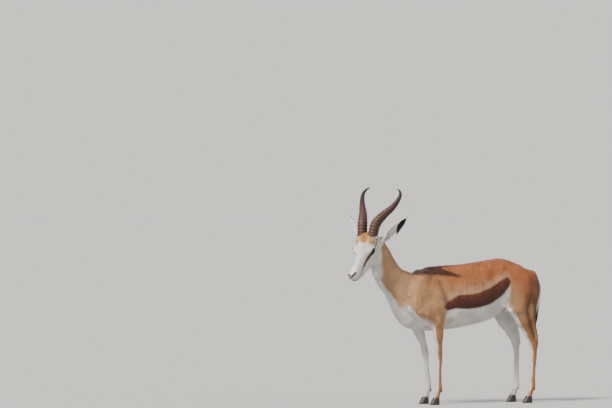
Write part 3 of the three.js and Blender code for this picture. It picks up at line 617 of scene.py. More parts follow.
lids = []
for word, side in SIDES.items():
    lid = loft(f"lids_{word}", around=96, along=42, place=lid_points(side))
    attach(lid, "root")
    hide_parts("head")
    lids.append(lid)
print("lids", [len(lid.data.polygons) for lid in lids])

# %% [markdown]
# Under the ring the hide is pushed back, so that it never shows through the lids. After that the
# skin has its last shape, and takes the place of the solids of flesh.

# %% Sink the hide under the lids and finish the skin
SUNK = 3.2
for side in SIDES.values():
    u, v, w, rho = eye_places(skin_points, side)
    near = (rho < 2) & (w > -6)
    sunk = SUNK * fade(rho, 1.55, 1.9)
    outwards = turned_by(HEAD, eye_frame(side)[:, 2][None])[0]
    skin_points[near] -= outwards * (sunk[near] * HEAD_UNIT)[:, None]
put_points(skin, skin_points)
only(skin)
bpy.ops.object.shade_smooth()
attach(skin, "root")
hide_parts(*FLESH)
print("skin box", points_of(skin).min(axis=0).round(3), points_of(skin).max(axis=0).round(3))

# %% [markdown]
# The horns. A ram's horns rise ringed and lyre shaped from the forehead and hook inwards at the
# smooth tips. The keratin swells in a ring every centimetre or two, highest on the front.

# %% Two ringed horns
HORN = [  # place on the left side in the head's frame, half depth, half width
    ((63, 23, 14), 13, 11),
    ((54, 24, 29), 20.5, 18.5),
    ((40, 27, 42), 25, 22.8),
    ((-14, 36, 86), 25, 22.8),
    ((-72, 57, 97), 19.5, 18),
    ((-118, 80, 103), 15, 14.3),
    ((-161, 96, 117), 10.5, 10),
    ((-186, 98, 127), 8, 7.6),
    ((-204, 88, 135), 5.2, 5),
    ((-216, 70, 139), 1.0, 1.0),
]
HORN_LINE = np.array([station for station, _, _ in HORN], float)
HORN_RIDGES = 18
RIDGED_PART = 0.74
RIDGE_HEIGHT = 2.0


def horn_points(side):
    chord = np.concatenate([[0], np.cumsum(np.linalg.norm(np.diff(HORN_LINE, axis=0), axis=1))])
    chord /= chord[-1]

    def place(turn, t):
        line, front, across = frame_along(HORN_LINE, t)
        angle = turn * 2 * math.pi
        deep, wide = (np.interp(t, chord, [row[k] for row in HORN]) for k in (1, 2))
        # A ridge rises gently from below and drops sharply above
        phase = np.clip(t / RIDGED_PART, 0, 1) * HORN_RIDGES
        rise = (phase % 1) ** 1.5 * fade(phase % 1, 0.72, 1.0)
        strength = fade(t, RIDGED_PART * 0.8, RIDGED_PART) * (1 - 0.45 * t)
        bump = RIDGE_HEIGHT * 2.1 * rise * strength * (0.62 + 0.38 * np.cos(angle)) - 0.5 * strength
        # Fine grooves run along the horn
        bump += 0.22 * np.sin(angle * 9 + 5 * np.sin(t * 14)) * (1 - t)
        out = (
            line
            + front * (np.cos(angle) * (deep + bump))[:, None]
            + across * (np.sin(angle) * (wide + bump))[:, None]
        )
        tip = t > 0.9999
        out[tip] = line[tip]
        out[:, 1] *= -side
        return moved_by(HEAD, out)

    return place


horns = []
for word, side in SIDES.items():
    horn = loft(f"ringed_horn_{word}", around=40, along=190, place=horn_points(side), caps=True)
    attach(horn, "root")
    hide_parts(f"horn_{word}")
    horns.append(horn)
print("horns", [len(horn.data.polygons) for horn in horns])

# %% [markdown]
# The ears. Each is a leaf of thin skin rolled into a tube at the root and open further out. A grid
# is curled by a formula and given its thickness by Solidify.

# %% Two cupped ears
EAR_ROOT = np.array([11, 51, 2.0])
EAR_TIP = np.array([-98, 150, 58.0])
EAR_OPENS = np.array([0.5, 0.8, 0.2])
EAR_ROWS = np.array([  # share of the length, half width, depth, half angle of the curl in degrees
    [-0.16, 7.0, 7.0, 179],
    [0.0, 9.0, 9.0, 179],
    [0.08, 11.2, 10.5, 174],
    [0.15, 13.6, 12.5, 148],
    [0.21, 17.0, 14.2, 118],
    [0.28, 20.0, 14.0, 102],
    [0.40, 22.0, 12.0, 88],
    [0.54, 21.0, 10.0, 80],
    [0.68, 17.0, 8.2, 78],
    [0.82, 12.0, 5.4, 74],
    [0.92, 7.0, 3.2, 72],
    [1.00, 0.9, 0.8, 70],
])
EAR_WALL = 2.0 * MM
EAR_LENGTH = np.linalg.norm(EAR_TIP - EAR_ROOT)
EAR_ALONG = (EAR_TIP - EAR_ROOT) / EAR_LENGTH
EAR_LOOKS = unit(EAR_OPENS - EAR_ALONG * (EAR_OPENS @ EAR_ALONG))
EAR_ACROSS = np.cross(EAR_ALONG, EAR_LOOKS)


def ear_points(side):
    def place(v, t):
        share = EAR_ROWS[0, 0] + t * (1 - EAR_ROWS[0, 0])
        half, back, curl = (np.interp(share, EAR_ROWS[:, 0], EAR_ROWS[:, k]) for k in (1, 2, 3))
        arc = np.radians(curl)
        a = (2 * v - 1) * arc
        sweep = np.where(arc > math.pi / 2, 1, np.sin(arc))
        lowest = np.cos(np.minimum(arc, math.pi / 2))
        depth = (np.cos(a) - lowest) / (1 - lowest)
        bow = 7 * np.sin(math.pi * np.maximum(share, 0))
        ripple = 0.7 * np.sin(share * 23 + 2 * v) * (2 * v - 1) ** 4
        out = (
            EAR_ROOT
            + EAR_ALONG * (share * EAR_LENGTH)[:, None]
            + EAR_ACROSS * (half * np.sin(a) / sweep)[:, None]
            + EAR_LOOKS * (bow - back * depth + ripple)[:, None]
        )
        out[:, 1] *= -side
        return moved_by(HEAD, out)

    return place


ears = []
for word, side in SIDES.items():
    ear = loft(f"cupped_ear_{word}", around=30, along=56, place=ear_points(side))
    wall = ear.modifiers.new("ear wall", "SOLIDIFY")
    wall.thickness = EAR_WALL
    wall.offset = 0
    apply_all(ear)
    tidy_normals(ear)
    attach(ear, "root")
    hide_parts(f"ear_{word}")
    ears.append(ear)
print("ears", [len(ear.data.polygons) for ear in ears])

# %% [markdown]
# The eyes are large dark balls, with a clear cornea that bulges a little. A sphere is added at the
# solid's place, its pole turned to where the eye looks, and the cornea is raised.

# %% Two eyes
CORNEA_RISE = 0.035  # of the eye's radius


def head_way(direction):
    """A direction given in the head's frame, turned as the head is."""
    return HEAD.to_3x3().normalized() @ Vector(direction)


eyes = []
for word, side in SIDES.items():
    centre = middle(f"eye_{word}")
    radius = EYE_RADIUS * HEAD_UNIT
    bpy.ops.object.select_all(action="DESELECT")
    bpy.ops.mesh.primitive_uv_sphere_add(segments=72, ring_count=48, radius=radius)
    ball = bpy.context.object
    ball.name = ball.data.name = f"eyeball_{word}"
    looks = head_way(on_side(EYE_LOOKS, side)).normalized()
    ball.rotation_euler = looks.to_track_quat("Z", "Y").to_euler()
    ball.location = centre
    bpy.ops.object.transform_apply(location=True, rotation=True, scale=True)
    points = points_of(ball)
    ahead = (points - np.array(centre)) @ np.array(looks) / radius
    points += (points - np.array(centre)) * (CORNEA_RISE * ease(ahead, 0.62, 1.0))[:, None]
    put_points(ball, points)
    tidy_normals(ball)
    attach(ball, "root")
    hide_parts(f"eye_{word}")
    eyes.append(ball)
print("eyes", len(eyes), "of", round(2 * radius / MM), "mm")

# %% [markdown]
# The hooves. Each foot stands on two claws, flat towards each other and pointed at the toe. Their
# plan is a pointed oval that shrinks towards the coronet, with low growth rings.

# %% Eight claws
TOE = 37 * MM  # from the middle of the claw to its tip
CLAW_ROWS = np.array([  # height, toe, heel, half width, in millimetres
    [0.0, 36.2, 16.4, 16.9],
    [0.9, 37.0, 17.0, 17.5],
    [5.0, 36.0, 18.5, 18.5],
    [14.0, 30.5, 18.7, 18.6],
    [22.0, 26.0, 18.5, 18.4],
    [30.0, 21.2, 17.6, 17.8],
    [37.0, 17.0, 16.0, 17.0],
])


def claw_points(node):
    low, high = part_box(node)
    outer_side = RIGHT if ("right" in node) == ("outer" in node) else LEFT
    flat_y = low.y if outer_side == RIGHT else high.y
    hoof_x = low.x + TOE

    def place(turn, t):
        z = t * CLAW_ROWS[-1, 0]
        toe, heel, half = (np.interp(z, CLAW_ROWS[:, 0], CLAW_ROWS[:, k]) for k in (1, 2, 3))
        angle = turn * 2 * math.pi
        forward, outward = np.cos(angle), np.sin(angle)
        rings = 0.18 * np.sin(z * 1.9) * ease(z, 2, 8)
        x = np.where(forward > 0, -(toe + rings) * np.abs(forward) ** 1.12, -heel * forward)
        wide = (half + rings) * np.abs(outward) ** 0.85
        hollow = 0.9 * np.sin(angle) ** 2
        y = np.where(outward > 0, wide, hollow)
        return np.stack([hoof_x + x * MM, flat_y + outer_side * y * MM, z * MM], axis=-1)

    return place


claws = []
for node in [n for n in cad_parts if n.startswith("hoof_")]:
    claw = loft(node.replace("hoof", "claw"), around=36, along=20, place=claw_points(node), caps=True)
    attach(claw, "root")
    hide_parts(node)
    claws.append(claw)
print("claws", len(claws))

# %% [markdown]
# The dewclaws. Behind each fetlock sit two small horny points. Each is a blunt cone that leans back
# and down, with its edges rounded by a bevel, and all eight are one piece.

# %% Eight dewclaws
FETLOCK = 88 * MM
BEHIND_TOE = 64 * MM
DEWCLAW_LONG = 17 * MM
DEWCLAWS_APART = 17 * MM
DEWCLAW_LEAN = math.radians(154)

dewclaws = []
for leg in LEGS:
    feet = [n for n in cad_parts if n.startswith("hoof_" + leg.replace("leg", ""))]
    foot = sum((middle(n) for n in feet), Vector()) / len(feet)
    toe = min(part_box(n)[0].x for n in feet)
    for aside in (-DEWCLAWS_APART / 2, DEWCLAWS_APART / 2):
        bpy.ops.object.select_all(action="DESELECT")
        bpy.ops.mesh.primitive_cone_add(
            vertices=16, radius1=6.0 * MM, radius2=4.0 * MM, depth=DEWCLAW_LONG,
            rotation=(0, DEWCLAW_LEAN, 0),
            location=(toe + BEHIND_TOE, foot.y + aside, FETLOCK - 13 * MM),
        )
        dewclaw = bpy.context.object
        soft = dewclaw.modifiers.new("soft edge", "BEVEL")
        soft.width = 3.2 * MM
        soft.segments = 4
        dewclaws.append(dewclaw)
        apply_all(dewclaw)
dewclaws = join(dewclaws, "dewclaws")
bpy.ops.object.transform_apply(location=True, rotation=True, scale=True)
tidy_normals(dewclaws)
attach(dewclaws, "root")
print("dewclaws", len(dewclaws.data.polygons), "faces")

# %% [markdown]
# The tail hangs from the rump, a thin dock that ends in a tuft of long hair. The dock is lofted along
# a line that leaves the rump, turns down and swings a little forward, and is flatter than it is wide.

# %% The dock of the tail
TAIL_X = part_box("tail")[1].x - 9 * MM
TAIL_LINE = np.array([  # from the rump down
    [TAIL_X - 27 * MM, MID_Y, 0.664],
    [TAIL_X - 14 * MM, MID_Y, 0.652],
    [TAIL_X - 5 * MM, MID_Y, 0.632],
    [TAIL_X, MID_Y, 0.590],
    [TAIL_X - 6 * MM, MID_Y, 0.530],
    [TAIL_X - 15 * MM, MID_Y, 0.470],
])
DOCK_RADII = np.array([10, 10.4, 9.6, 7.6, 6.4, 1.0]) * MM
DOCK_FLATNESS = 0.8


def dock_points(turn, t):
    line, front, across = frame_along(TAIL_LINE, t)
    radius = np.interp(t, np.linspace(0, 1, len(DOCK_RADII)), DOCK_RADII)
    angle = turn * 2 * math.pi
    flat_front = front * (np.cos(angle) * radius * DOCK_FLATNESS)[:, None]
    return line + flat_front + across * (np.sin(angle) * radius)[:, None]


dock = loft("dock", around=20, along=48, place=dock_points, caps=True)
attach(dock, "root")
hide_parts("tail")
print("dock", len(dock.data.polygons), "faces")

# %% [markdown]
# The markings. A springbok is cinnamon above, paler on the neck and legs, white below, with a dark
# band along the flank, a white face with a thin stripe through the eye, and a white fold down the
# croup. Skin and hair both take their colour from one function of the place on the body, so that they
# always agree. Colours are linear light.

# %% Soft noise and colour mixing
rng = np.random.default_rng(27)


def mottle(points, size, seed):
    """A soft noise of waves about as long as the size, mostly between -1 and 1."""
    waves = np.random.default_rng(seed)
    total = np.zeros(len(points))
    for _ in range(7):
        way = waves.normal(size=3)
        way /= np.linalg.norm(way)
        wavelength = size * waves.uniform(0.7, 1.4)
        start = waves.uniform(0, 6.3)
        total += np.sin(points @ way * (2 * math.pi / wavelength) + start)
    return total / 2.6


def mix(a, b, t):
    return a + (np.asarray(b) - a) * np.clip(t, 0, 1)[:, None]


def all_over(colour, count):
    return np.tile(np.array(colour), (count, 1))


CINNAMON = (0.46, 0.152, 0.046)
RUSSET = (0.40, 0.108, 0.032)
FAWN = (0.50, 0.275, 0.135)
PALE_FAWN = (0.62, 0.41, 0.25)
WHITE = (0.80, 0.775, 0.73)
STRIPE = (0.13, 0.038, 0.022)
NAPE = (0.30, 0.155, 0.075)
print("colours mixed in linear light")

# %% [markdown]
# Each marking is a function that mixes its colour over what is there, by the place on the body in
# millimetres and by where the surface looks. The ground is fawn, cinnamon on the back and the haunch,
# russet along the spine, and paler over the dark band.

# %% Fawn, cinnamon and russet
BAND = np.array([  # along the body, lower and upper edge of the dark band, in millimetres
    [-22, 520, 522], [0, 500, 546], [52, 512, 578], [120, 507, 585], [188, 514, 594],
    [260, 536, 622], [325, 572, 658], [362, 616, 676], [380, 648, 650],
])


def body_places(points, normals):
    """Along the body, off the middle plane, height, and how far the surface looks outwards."""
    x, off, z = folded_body(points).T
    return x, off, z, normals[:, 1] * np.sign(points[:, 1] - MID_Y)


def flank(x, off):
    """Lower and upper edge of the band, and where on the body there is one."""
    low, high = (np.interp(x, BAND[:, 0], BAND[:, k]) for k in (1, 2))
    return low, high, (x > -22) & (x < 380) & (off > 40)


def fawn_and_cinnamon(colour, points, normals):
    x, off, z, _ = body_places(points, normals)
    _, high, on_flank = flank(x, off)
    colour = mix(colour, CINNAMON, ease(z, 560, 700) * ease(x, -190, 60) * 0.9)
    colour = mix(colour, CINNAMON, ease(x, 380, 470) * ease(z, 470, 620) * 0.75)
    colour = mix(colour, RUSSET, ease(z, 690, 760) * ease(x, -120, 40) * 0.5)
    return mix(colour, PALE_FAWN, on_flank * fade(z, high + 2, high + 50) * 0.75)


# %% [markdown]
# White lies below the band on the belly, between the forelegs on the breast, and on the inside of
# the thighs. Its upper edge on the belly is sharp, and elsewhere it is soft.

# %% White belly, breast and thighs
def on_leg(x, z):
    fore = ease(x, -130, -108) * fade(x, 24, 48) * fade(z, 430, 480)
    return np.maximum(fore, ease(x, 342, 366) * fade(z, 440, 470))


def white_below(colour, points, normals):
    x, off, z, outward = body_places(points, normals)
    low, _, _ = flank(x, off)
    belly_top = np.where(x < 0, 440 + 60 * ease(x, -22, 0), low)
    belly = fade(z, belly_top - 5, belly_top + 6) * (x < 372)
    below = ease(-normals[:, 2], 0.35, 0.62) * (z < 560) * (z > 360)
    inner_thigh = fade(outward, -0.2, 0.2) * fade(z, 540, 600) * ease(x, 342, 366)
    brisket = ease(-x, 60, 84) * fade(z, 440, 470) * ease(z, 360, 400)
    brisket = brisket * fade(outward, 0.75, 0.95)
    under_chest = fade(off, 44, 58) * (x < 60) * fade(z, 500, 540) * ease(z, 340, 380)
    colour = mix(colour, WHITE, belly * (1 - on_leg(x, z)))
    return mix(colour, WHITE, np.maximum.reduce([inner_thigh, brisket, below, under_chest]))


# %% [markdown]
# The legs are fawn outside, and white inside and in front. The thigh is white in front and darkens to its
# rear edge with a dark border and painted shade, and painted shade lies in the crease where the flank
# folds. A little brown lies over the coronets.

# %% Legs
THIGH_REAR_BORDER_AND_SHADE = (0.13, 0.055, 0.035)
GROIN_SHADE = (0.12, 0.06, 0.04)


def leg_colours(colour, points, normals):
    x, off, z, outward = body_places(points, normals)
    leg = on_leg(x, z)
    forward, rearward = -normals[:, 0], normals[:, 0]
    leg_white = np.maximum(fade(outward, -0.05, 0.32), ease(forward, 0.50, 0.72))
    colour = mix(colour, CINNAMON, leg * ease(outward, 0.3, 0.8) * 0.35)
    colour = mix(colour, WHITE, leg * leg_white)
    turned_from = 0.30 + 0.45 * ease(z, 470, 520)
    thigh_front = ease(forward, turned_from, turned_from + 0.22) * ease(x, 350, 372)
    colour = mix(colour, WHITE, thigh_front * ease(z, 330, 380) * fade(z, 560, 600))
    # A dark border and painted shade on the rear of the thigh, where it faces away from the key light
    thigh_rear_border_and_shade = ease(rearward, -0.05, 0.5) * ease(x, 430, 500) * ease(z, 300, 380)
    thigh_rear_border_and_shade = thigh_rear_border_and_shade * fade(z, 640, 720)
    colour = mix(colour, THIGH_REAR_BORDER_AND_SHADE, thigh_rear_border_and_shade * ease(outward, -0.1, 0.3) * 0.82)
    # Painted shade in the crease between the belly and the thigh
    groin_shade = line_distance(np.stack([x, z], axis=1), [(350, 505), (352, 465)])
    colour = mix(colour, GROIN_SHADE, fade(groin_shade, 4, 14) * (off > 40) * 0.45)
    return mix(colour, NAPE, fade(z, 60, 84) * 0.35)


# %% [markdown]
# The dark band runs along the flank from the elbow to the thigh. It is nearly black below and redder
# towards its upper edge, and two sizes of soft noise keep it from looking printed. Behind the elbow a
# painted shade darkens the flank in the colour of the face's stripe.

# %% The dark band
MAROON = (0.085, 0.024, 0.016)
BAND_TOP = (0.16, 0.042, 0.018)


def flank_band(colour, points, normals):
    x, off, z, _ = body_places(points, normals)
    low, high, on_flank = flank(x, off)
    inside_band = ease(z, low - 3, low + 3) * fade(z, high - 4, high + 4) * on_flank
    band = mix(all_over(MAROON, len(points)), BAND_TOP, ease(z, low + 10, high))
    band = band * (1 + 0.35 * mottle(points, 9 * MM, 11) + 0.3 * mottle(points, 4 * MM, 12))[:, None]
    colour = colour + (band - colour) * inside_band[:, None]
    # Painted shade behind the elbow, in the colour of the face's stripe
    shade_behind_elbow = on_flank * fade(x, -30, 40) * ease(z, 500, 520) * fade(z, 530, 575)
    return mix(colour, STRIPE, shade_behind_elbow * 0.5)


# %% [markdown]
# A dark patch lies over the withers and reaches down both sides. A painted shade runs down from it
# behind the shoulder, and a darker line follows the spine.

# %% Saddle, painted shade behind the shoulder, and spine
SADDLE = (0.05, 0.016, 0.012)
SHOULDER_SHADE = (0.15, 0.065, 0.045)
SPINE = (0.24, 0.07, 0.03)


def saddle_and_spine(colour, points, normals):
    x, off, z, _ = body_places(points, normals)
    wide = np.interp(x, [-200, -130, -60, 20, 150], [2, 20, 31, 24, 4])
    top = fade(off, wide - 12, wide + 9) * ease(x, -200, -150)
    top = top * fade(x, 70, 160) * ease(z, 650, 690)
    saddle_at = np.interp(x, [-172, -112, -50, 20, 80], [704, 716, 712, 697, 682])
    saddle_half = np.interp(x, [-172, -145, -112, -50, 20, 90], [10, 23, 26, 23, 15, 4])
    saddle_off = np.where(x < 0, saddle_at - z, np.abs(z - saddle_at))
    saddle_off += 2 * mottle(points, 14 * MM, 16)
    side = fade(saddle_off, saddle_half - 6, saddle_half + 8) * ease(x, -185, -160)
    side *= fade(x, 70, 110) * fade(off, 80, 100)
    colour = mix(colour, SADDLE, np.maximum(top, side) * 0.94)
    # Painted shade down the rear edge of the shoulder blade
    shoulder_shade = line_distance(np.stack([x, z], axis=1), [(-34, 652), (-26, 610), (-12, 566), (-8, 530)])
    colour = mix(colour, SHOULDER_SHADE, fade(shoulder_shade, 3, 18) * (off > 60) * 0.5)
    spine = fade(off, 4, 20) * ease(x, 60, 120) * fade(x, 270, 300) * ease(z, 690, 710)
    return mix(colour, SPINE, spine * 0.5)


# %% [markdown]
# A springbok carries a fold of long white hair along the croup, shown closed here, as a narrow white
# line that widens into the white rump. Both have a thin dark edge, and beside the rump it is darkened
# further with painted shade, where the thigh turns away from the light.

# %% Croup fold and rump
RUMP_BORDER_AND_SHADE = (0.14, 0.05, 0.028)


def croup_and_rump(colour, points, normals):
    x, off, z, _ = body_places(points, normals)
    fold_wide = np.interp(x, [285, 300, 420, 500], [0, 3.5, 9, 19])
    on_top = ease(normals[:, 2], -0.2, 0.2)
    fold = fade(off, fold_wide, fold_wide + 3) * ease(x, 285, 300) * ease(z, 690, 700)
    fold_edge = fade(off, fold_wide + 6, fold_wide + 14) * ease(x, 285, 330) * ease(z, 680, 700)
    rump_wide = np.interp(z, [440, 520, 600, 680, 730], [52, 66, 70, 46, 19])
    behind = ease(normals[:, 0], 0.12, 0.42) * ease(x, 470, 500)
    rump = fade(off, rump_wide - 3, rump_wide + 3) * behind * ease(z, 420, 470)
    # The rump's dark edge, partly its own border and partly painted shade where it faces back
    rump_border_and_shade = fade(off, rump_wide + 5, rump_wide + 15) * behind * ease(z, 500, 560)
    colour = mix(colour, RUMP_BORDER_AND_SHADE, np.maximum(fold_edge * on_top * 0.5, rump_border_and_shade * 0.8))
    return mix(colour, WHITE, np.maximum(fold * on_top, rump))


# %% [markdown]
# The neck is paler than the back, brown along the nape and white down the throat, where it looks
# forward and down. The throat's direction turns with the head, and the white joins that of the breast.
# Low on its side, before the shoulder, lies a little painted shade.

# %% Neck and breast
NECK_SIDE_SHADE = (0.34, 0.18, 0.10)


def neck_colours(colour, points, normals):
    x, off, z = folded_body(points).T
    up_neck = ease(z, 540, 840)
    front = all_over((-0.90, 0.0, -0.43), len(x)) * (1 - up_neck)[:, None]
    front = unit(front + np.array([-0.78, -0.22, -0.58]) * up_neck[:, None])
    facing = (normals * front).sum(axis=1)
    on_neck = ease(-x, 150, 215) * ease(z, 440, 500)
    breast = ease(-x, 100, 125) * fade(z, 480, 560) * ease(facing + 0.004 * (70 - off), 0.50, 0.66)
    colour = mix(colour, PALE_FAWN, on_neck * 0.35)
    colour = mix(colour, NAPE, on_neck * ease(-facing, 0.35, 0.85) * 0.7)
    # Painted shade low on the neck's side, before the shoulder
    shade_before_shoulder = ease(-x, 120, 170) * ease(z, 500, 540) * fade(z, 560, 640)
    colour = mix(colour, NECK_SIDE_SHADE, shade_before_shoulder * 0.25)
    white_from = 0.68 + 0.10 * up_neck
    return mix(colour, WHITE, np.maximum(on_neck * ease(facing, white_from, white_from + 0.13), breast))


# %% [markdown]
# The face is white. Below the horns lies a ragged ochre band with an orange patch over it, and a thin
# dark red-brown stripe runs from the horn through the eye to the corner of the mouth.

# %% Face, forehead and stripe
OCHRE = (0.58, 0.35, 0.13)
RUST = (0.40, 0.165, 0.042)
CREAM = (0.72, 0.58, 0.40)
STRIPE_EDGE = (0.30, 0.11, 0.055)


def face_colours(colour, points, normals):
    f = folded_head(points)
    along, off, up = f.T
    face = ease(along, -4, 20) * ease(up + 0.5 * along, -150, -110)
    back_edge = ease(along + 0.35 * up, 4, 20)
    throat = ease(-turned_by(TO_HEAD, normals)[:, 2], 0.3, 0.6) * ease(along, 0, 20)
    colour = mix(colour, WHITE, face * np.maximum(back_edge, throat))
    poll = fade(along, 14, 30) * ease(up, 22, 36)
    colour = mix(colour, NAPE, poll * ease(along, -40, 0) * 0.9)
    patch_wide = np.interp(along, [10, 46, 66, 80, 92], [22, 20, 17, 13, 6])
    patch = fade(off, patch_wide - 9, patch_wide + 7) * ease(up, 12, 20) * fade(along, 76, 98)
    ragged = 4 * mottle(points, 8 * MM, 15)
    band = fade(line_distance(f, [(72, 0, 56), (62, 24, 60), (70, 40, 48)]) + ragged, 10, 25)
    colour = mix(colour, OCHRE, band * 0.92)
    colour = mix(colour, RUST, patch * face)
    brow = fade(line_distance(f, [(60, 8, 44), (92, 18, 32)]), 14, 34) * (1 - patch) * (1 - band)
    colour = mix(colour, CREAM, brow * 0.4)
    cheek = line_distance(f, CHEEK_LINE)
    half = np.interp(along, [104, 125, 155, 178, 192], [6.2, 6.8, 8.2, 7.6, 4.4])
    colour = mix(colour, STRIPE_EDGE, fade(cheek, half + 1, half + 4.5) * 0.55)
    colour = mix(colour, STRIPE, fade(cheek, half - 2.0, half + 0.8))
    return mix(colour, STRIPE, fade(line_distance(f, STRIPE_LINE), 3.6, 6.0))


# %% [markdown]
# Bare dark skin shows at the nose, in the nostrils, between the lips, on the chin, and round each eye
# down into the tear duct. Under the lower lip the chin's dark skin is deepened with painted shade. The
# lines that cut these places into the skin also colour them.

# %% Bare skin of nose, mouth and lids
DARK_SKIN = (0.022, 0.016, 0.014)
NOSE = (0.13, 0.10, 0.09)
NOSTRIL_RIM = (0.10, 0.075, 0.068)
LIPS = (0.03, 0.022, 0.02)
CHIN_SKIN_AND_SHADE = (0.14, 0.11, 0.10)
LID_RIM = (0.09, 0.045, 0.03)


def bare_skin_colours(colour, points, normals):
    f = folded_head(points)
    nose = fade(line_distance(f, [(266, 0, -9), (267, 0, -17)]), 6, 12)
    colour = mix(colour, NOSE, nose * 0.75)
    slit = np.minimum(line_distance(f, NOSTRIL) + 0.6, line_distance(f, NOSTRIL_FLOOR))
    colour = mix(colour, NOSTRIL_RIM, fade(slit, 4.6, 7.5) * 0.8)
    colour = mix(colour, DARK_SKIN, fade(slit, 3.2, 5.4))
    lips = np.minimum(line_distance(f, MOUTH), line_distance(f, MOUTH_FLOOR))
    colour = mix(colour, LIPS, fade(lips, 1.5, 3.0) * 0.97)
    # Dark skin under the lower lip, deepened with painted shade
    colour = mix(colour, CHIN_SKIN_AND_SHADE, fade(line_distance(f, MOUTH[:18] - [2, 0, 5]), 3.0, 7.5) * 0.75)
    for side in SIDES.values():
        u, v, w, rho = eye_places(points, side)
        near = (w > -12) & (rho < 3)
        rim = np.where(near, fade(rho, 1.10, 1.32), 0)
        duct = np.where(near, fade(np.hypot((u - 15) / 1.6, v + 1.5), 2.0, 5.0), 0)
        colour = mix(colour, LID_RIM, np.where(near, fade(rho, 1.3, 1.62) * 0.6, 0))
        colour = mix(colour, DARK_SKIN, np.maximum(rim, duct))
    return colour


# %% [markdown]
# The markings go on one after another, so the order counts: the dark band covers the white belly,
# and the bare skin comes last. A colour for each point is kept in an attribute of the mesh, which
# the material reads, and the coat's tufts ask the same function for the colour at their roots.

# %% Paint the skin and the lids
MARKINGS = [
    fawn_and_cinnamon, white_below, leg_colours, flank_band, saddle_and_spine, croup_and_rump,
    neck_colours, face_colours, bare_skin_colours,
]


def coat_colours(points, normals):
    colour = all_over(FAWN, len(points))
    for marking in MARKINGS:
        colour = marking(colour, points, normals)
    shade = 1 + 0.07 * mottle(points, 70 * MM, 3) + 0.05 * mottle(points, 17 * MM, 4)
    return np.clip(colour * shade[:, None], 0.004, 0.9)


def paint(obj, colours, name="coat_colour"):
    layer = obj.data.attributes.new(name, "FLOAT_COLOR", "POINT")
    rgba = np.ones((len(colours), 4), np.float32)
    rgba[:, :3] = colours
    layer.data.foreach_set("color", rgba.ravel())


for piece in [skin, *lids]:
    paint(piece, coat_colours(points_of(piece), normals_of(piece)))
print("painted", len(MARKINGS), "markings")

# %% [markdown]
# Finishes. Each material takes its colour from the painted attribute or from Object coordinates, and
# gets fine noise at the scale of the real thing: fibres in the colour, roughness and bump of hair and
# horn, growth rings in those of the hooves, and a faint pattern in the colour of the eye, which is wet.

# %% A material builder
def new_material(name, colour=(0.5, 0.5, 0.5), roughness=0.6):
    material = bpy.data.materials.new(name)
    material.use_nodes = True
    nodes = material.node_tree.nodes
    shader = nodes["Principled BSDF"]
    shader.inputs["Base Color"].default_value = (*colour, 1)
    shader.inputs["Roughness"].default_value = roughness
    return material, nodes, material.node_tree.links, shader


def add_noise(nodes, links, scale, stretch=(1, 1, 1), detail=3.0):
    """Noise on Object coordinates, stretched by a Mapping node."""
    place = nodes.new("ShaderNodeTexCoord")
    mapping = nodes.new("ShaderNodeMapping")
    mapping.inputs["Scale"].default_value = stretch
    noise = nodes.new("ShaderNodeTexNoise")
    noise.inputs["Scale"].default_value = scale
    noise.inputs["Detail"].default_value = detail
    links.new(place.outputs["Object"], mapping.inputs["Vector"])
    links.new(mapping.outputs["Vector"], noise.inputs["Vector"])
    return noise.outputs["Fac"]


def add_range(nodes, links, source, low, high):
    spread = nodes.new("ShaderNodeMapRange")
    spread.inputs["From Min"].default_value = 0.3
    spread.inputs["From Max"].default_value = 0.7
    spread.inputs["To Min"].default_value = low
    spread.inputs["To Max"].default_value = high
    links.new(source, spread.inputs["Value"])
    return spread.outputs["Result"]


def add_bump(nodes, links, shader, source, strength, distance):
    bump = nodes.new("ShaderNodeBump")
    bump.inputs["Strength"].default_value = strength
    bump.inputs["Distance"].default_value = distance
    links.new(source, bump.inputs["Height"])
    links.new(bump.outputs["Normal"], shader.inputs["Normal"])


def painted(nodes, links, shader, attribute, shade):
    """The painted colour, times a shade from noise."""
    layer = nodes.new("ShaderNodeAttribute")
    layer.attribute_name = attribute
    times = nodes.new("ShaderNodeVectorMath")
    times.operation = "SCALE"
    links.new(layer.outputs["Color"], times.inputs[0])
    links.new(shade, times.inputs["Scale"])
    links.new(times.outputs["Vector"], shader.inputs["Base Color"])


# %% [markdown]
# Skin and hair share one recipe: the painted colour, varied by a fine noise that is drawn out
# downwards, the same noise in roughness and bump, and a little sheen, as short hair has.

# %% Skin and hair
def hair_material(name, roughness, sheen, bump, fibre):
    material, nodes, links, shader = new_material(name, roughness=roughness)
    fine = add_noise(nodes, links, fibre, (1.0, 1.6, 0.45), 4)
    painted(nodes, links, shader, "coat_colour", add_range(nodes, links, fine, 0.84, 1.14))
    links.new(add_range(nodes, links, fine, roughness - 0.08, roughness + 0.08), shader.inputs["Roughness"])
    shader.inputs["Sheen Weight"].default_value = sheen
    shader.inputs["Sheen Roughness"].default_value = 0.45
    shader.inputs["Specular IOR Level"].default_value = 0.3
    add_bump(nodes, links, shader, fine, bump, 0.0012)
    return material


skin_finish = hair_material("short fur and skin", 0.72, 0.12, 0.5, 900)
hair_finish = hair_material("coat hair", 0.62, 0.15, 0.2, 1400)
for piece in [skin, *lids]:
    piece.data.materials.clear()
    piece.data.materials.append(skin_finish)
print("fur materials:", skin_finish.name, "and", hair_finish.name)

# %% [markdown]
# The horns are dark brown with a blackish tip. Their ridges are worn paler on the crests, which also
# carry a painted highlight, and the grooves between them carry painted shade, so each point is coloured
# by how far it stands out from the middle line, against the mean of its neighbours along the horn.

# %% Horn
HORN_BROWN = (0.044, 0.016, 0.011)
HORN_TIP = (0.017, 0.009, 0.009)
WORN_CREST_AND_HIGHLIGHT = (0.13, 0.054, 0.038)
GROOVE_SHADE = (0.018, 0.008, 0.006)
AXIS_POINTS, WINDOWS = 300, 60

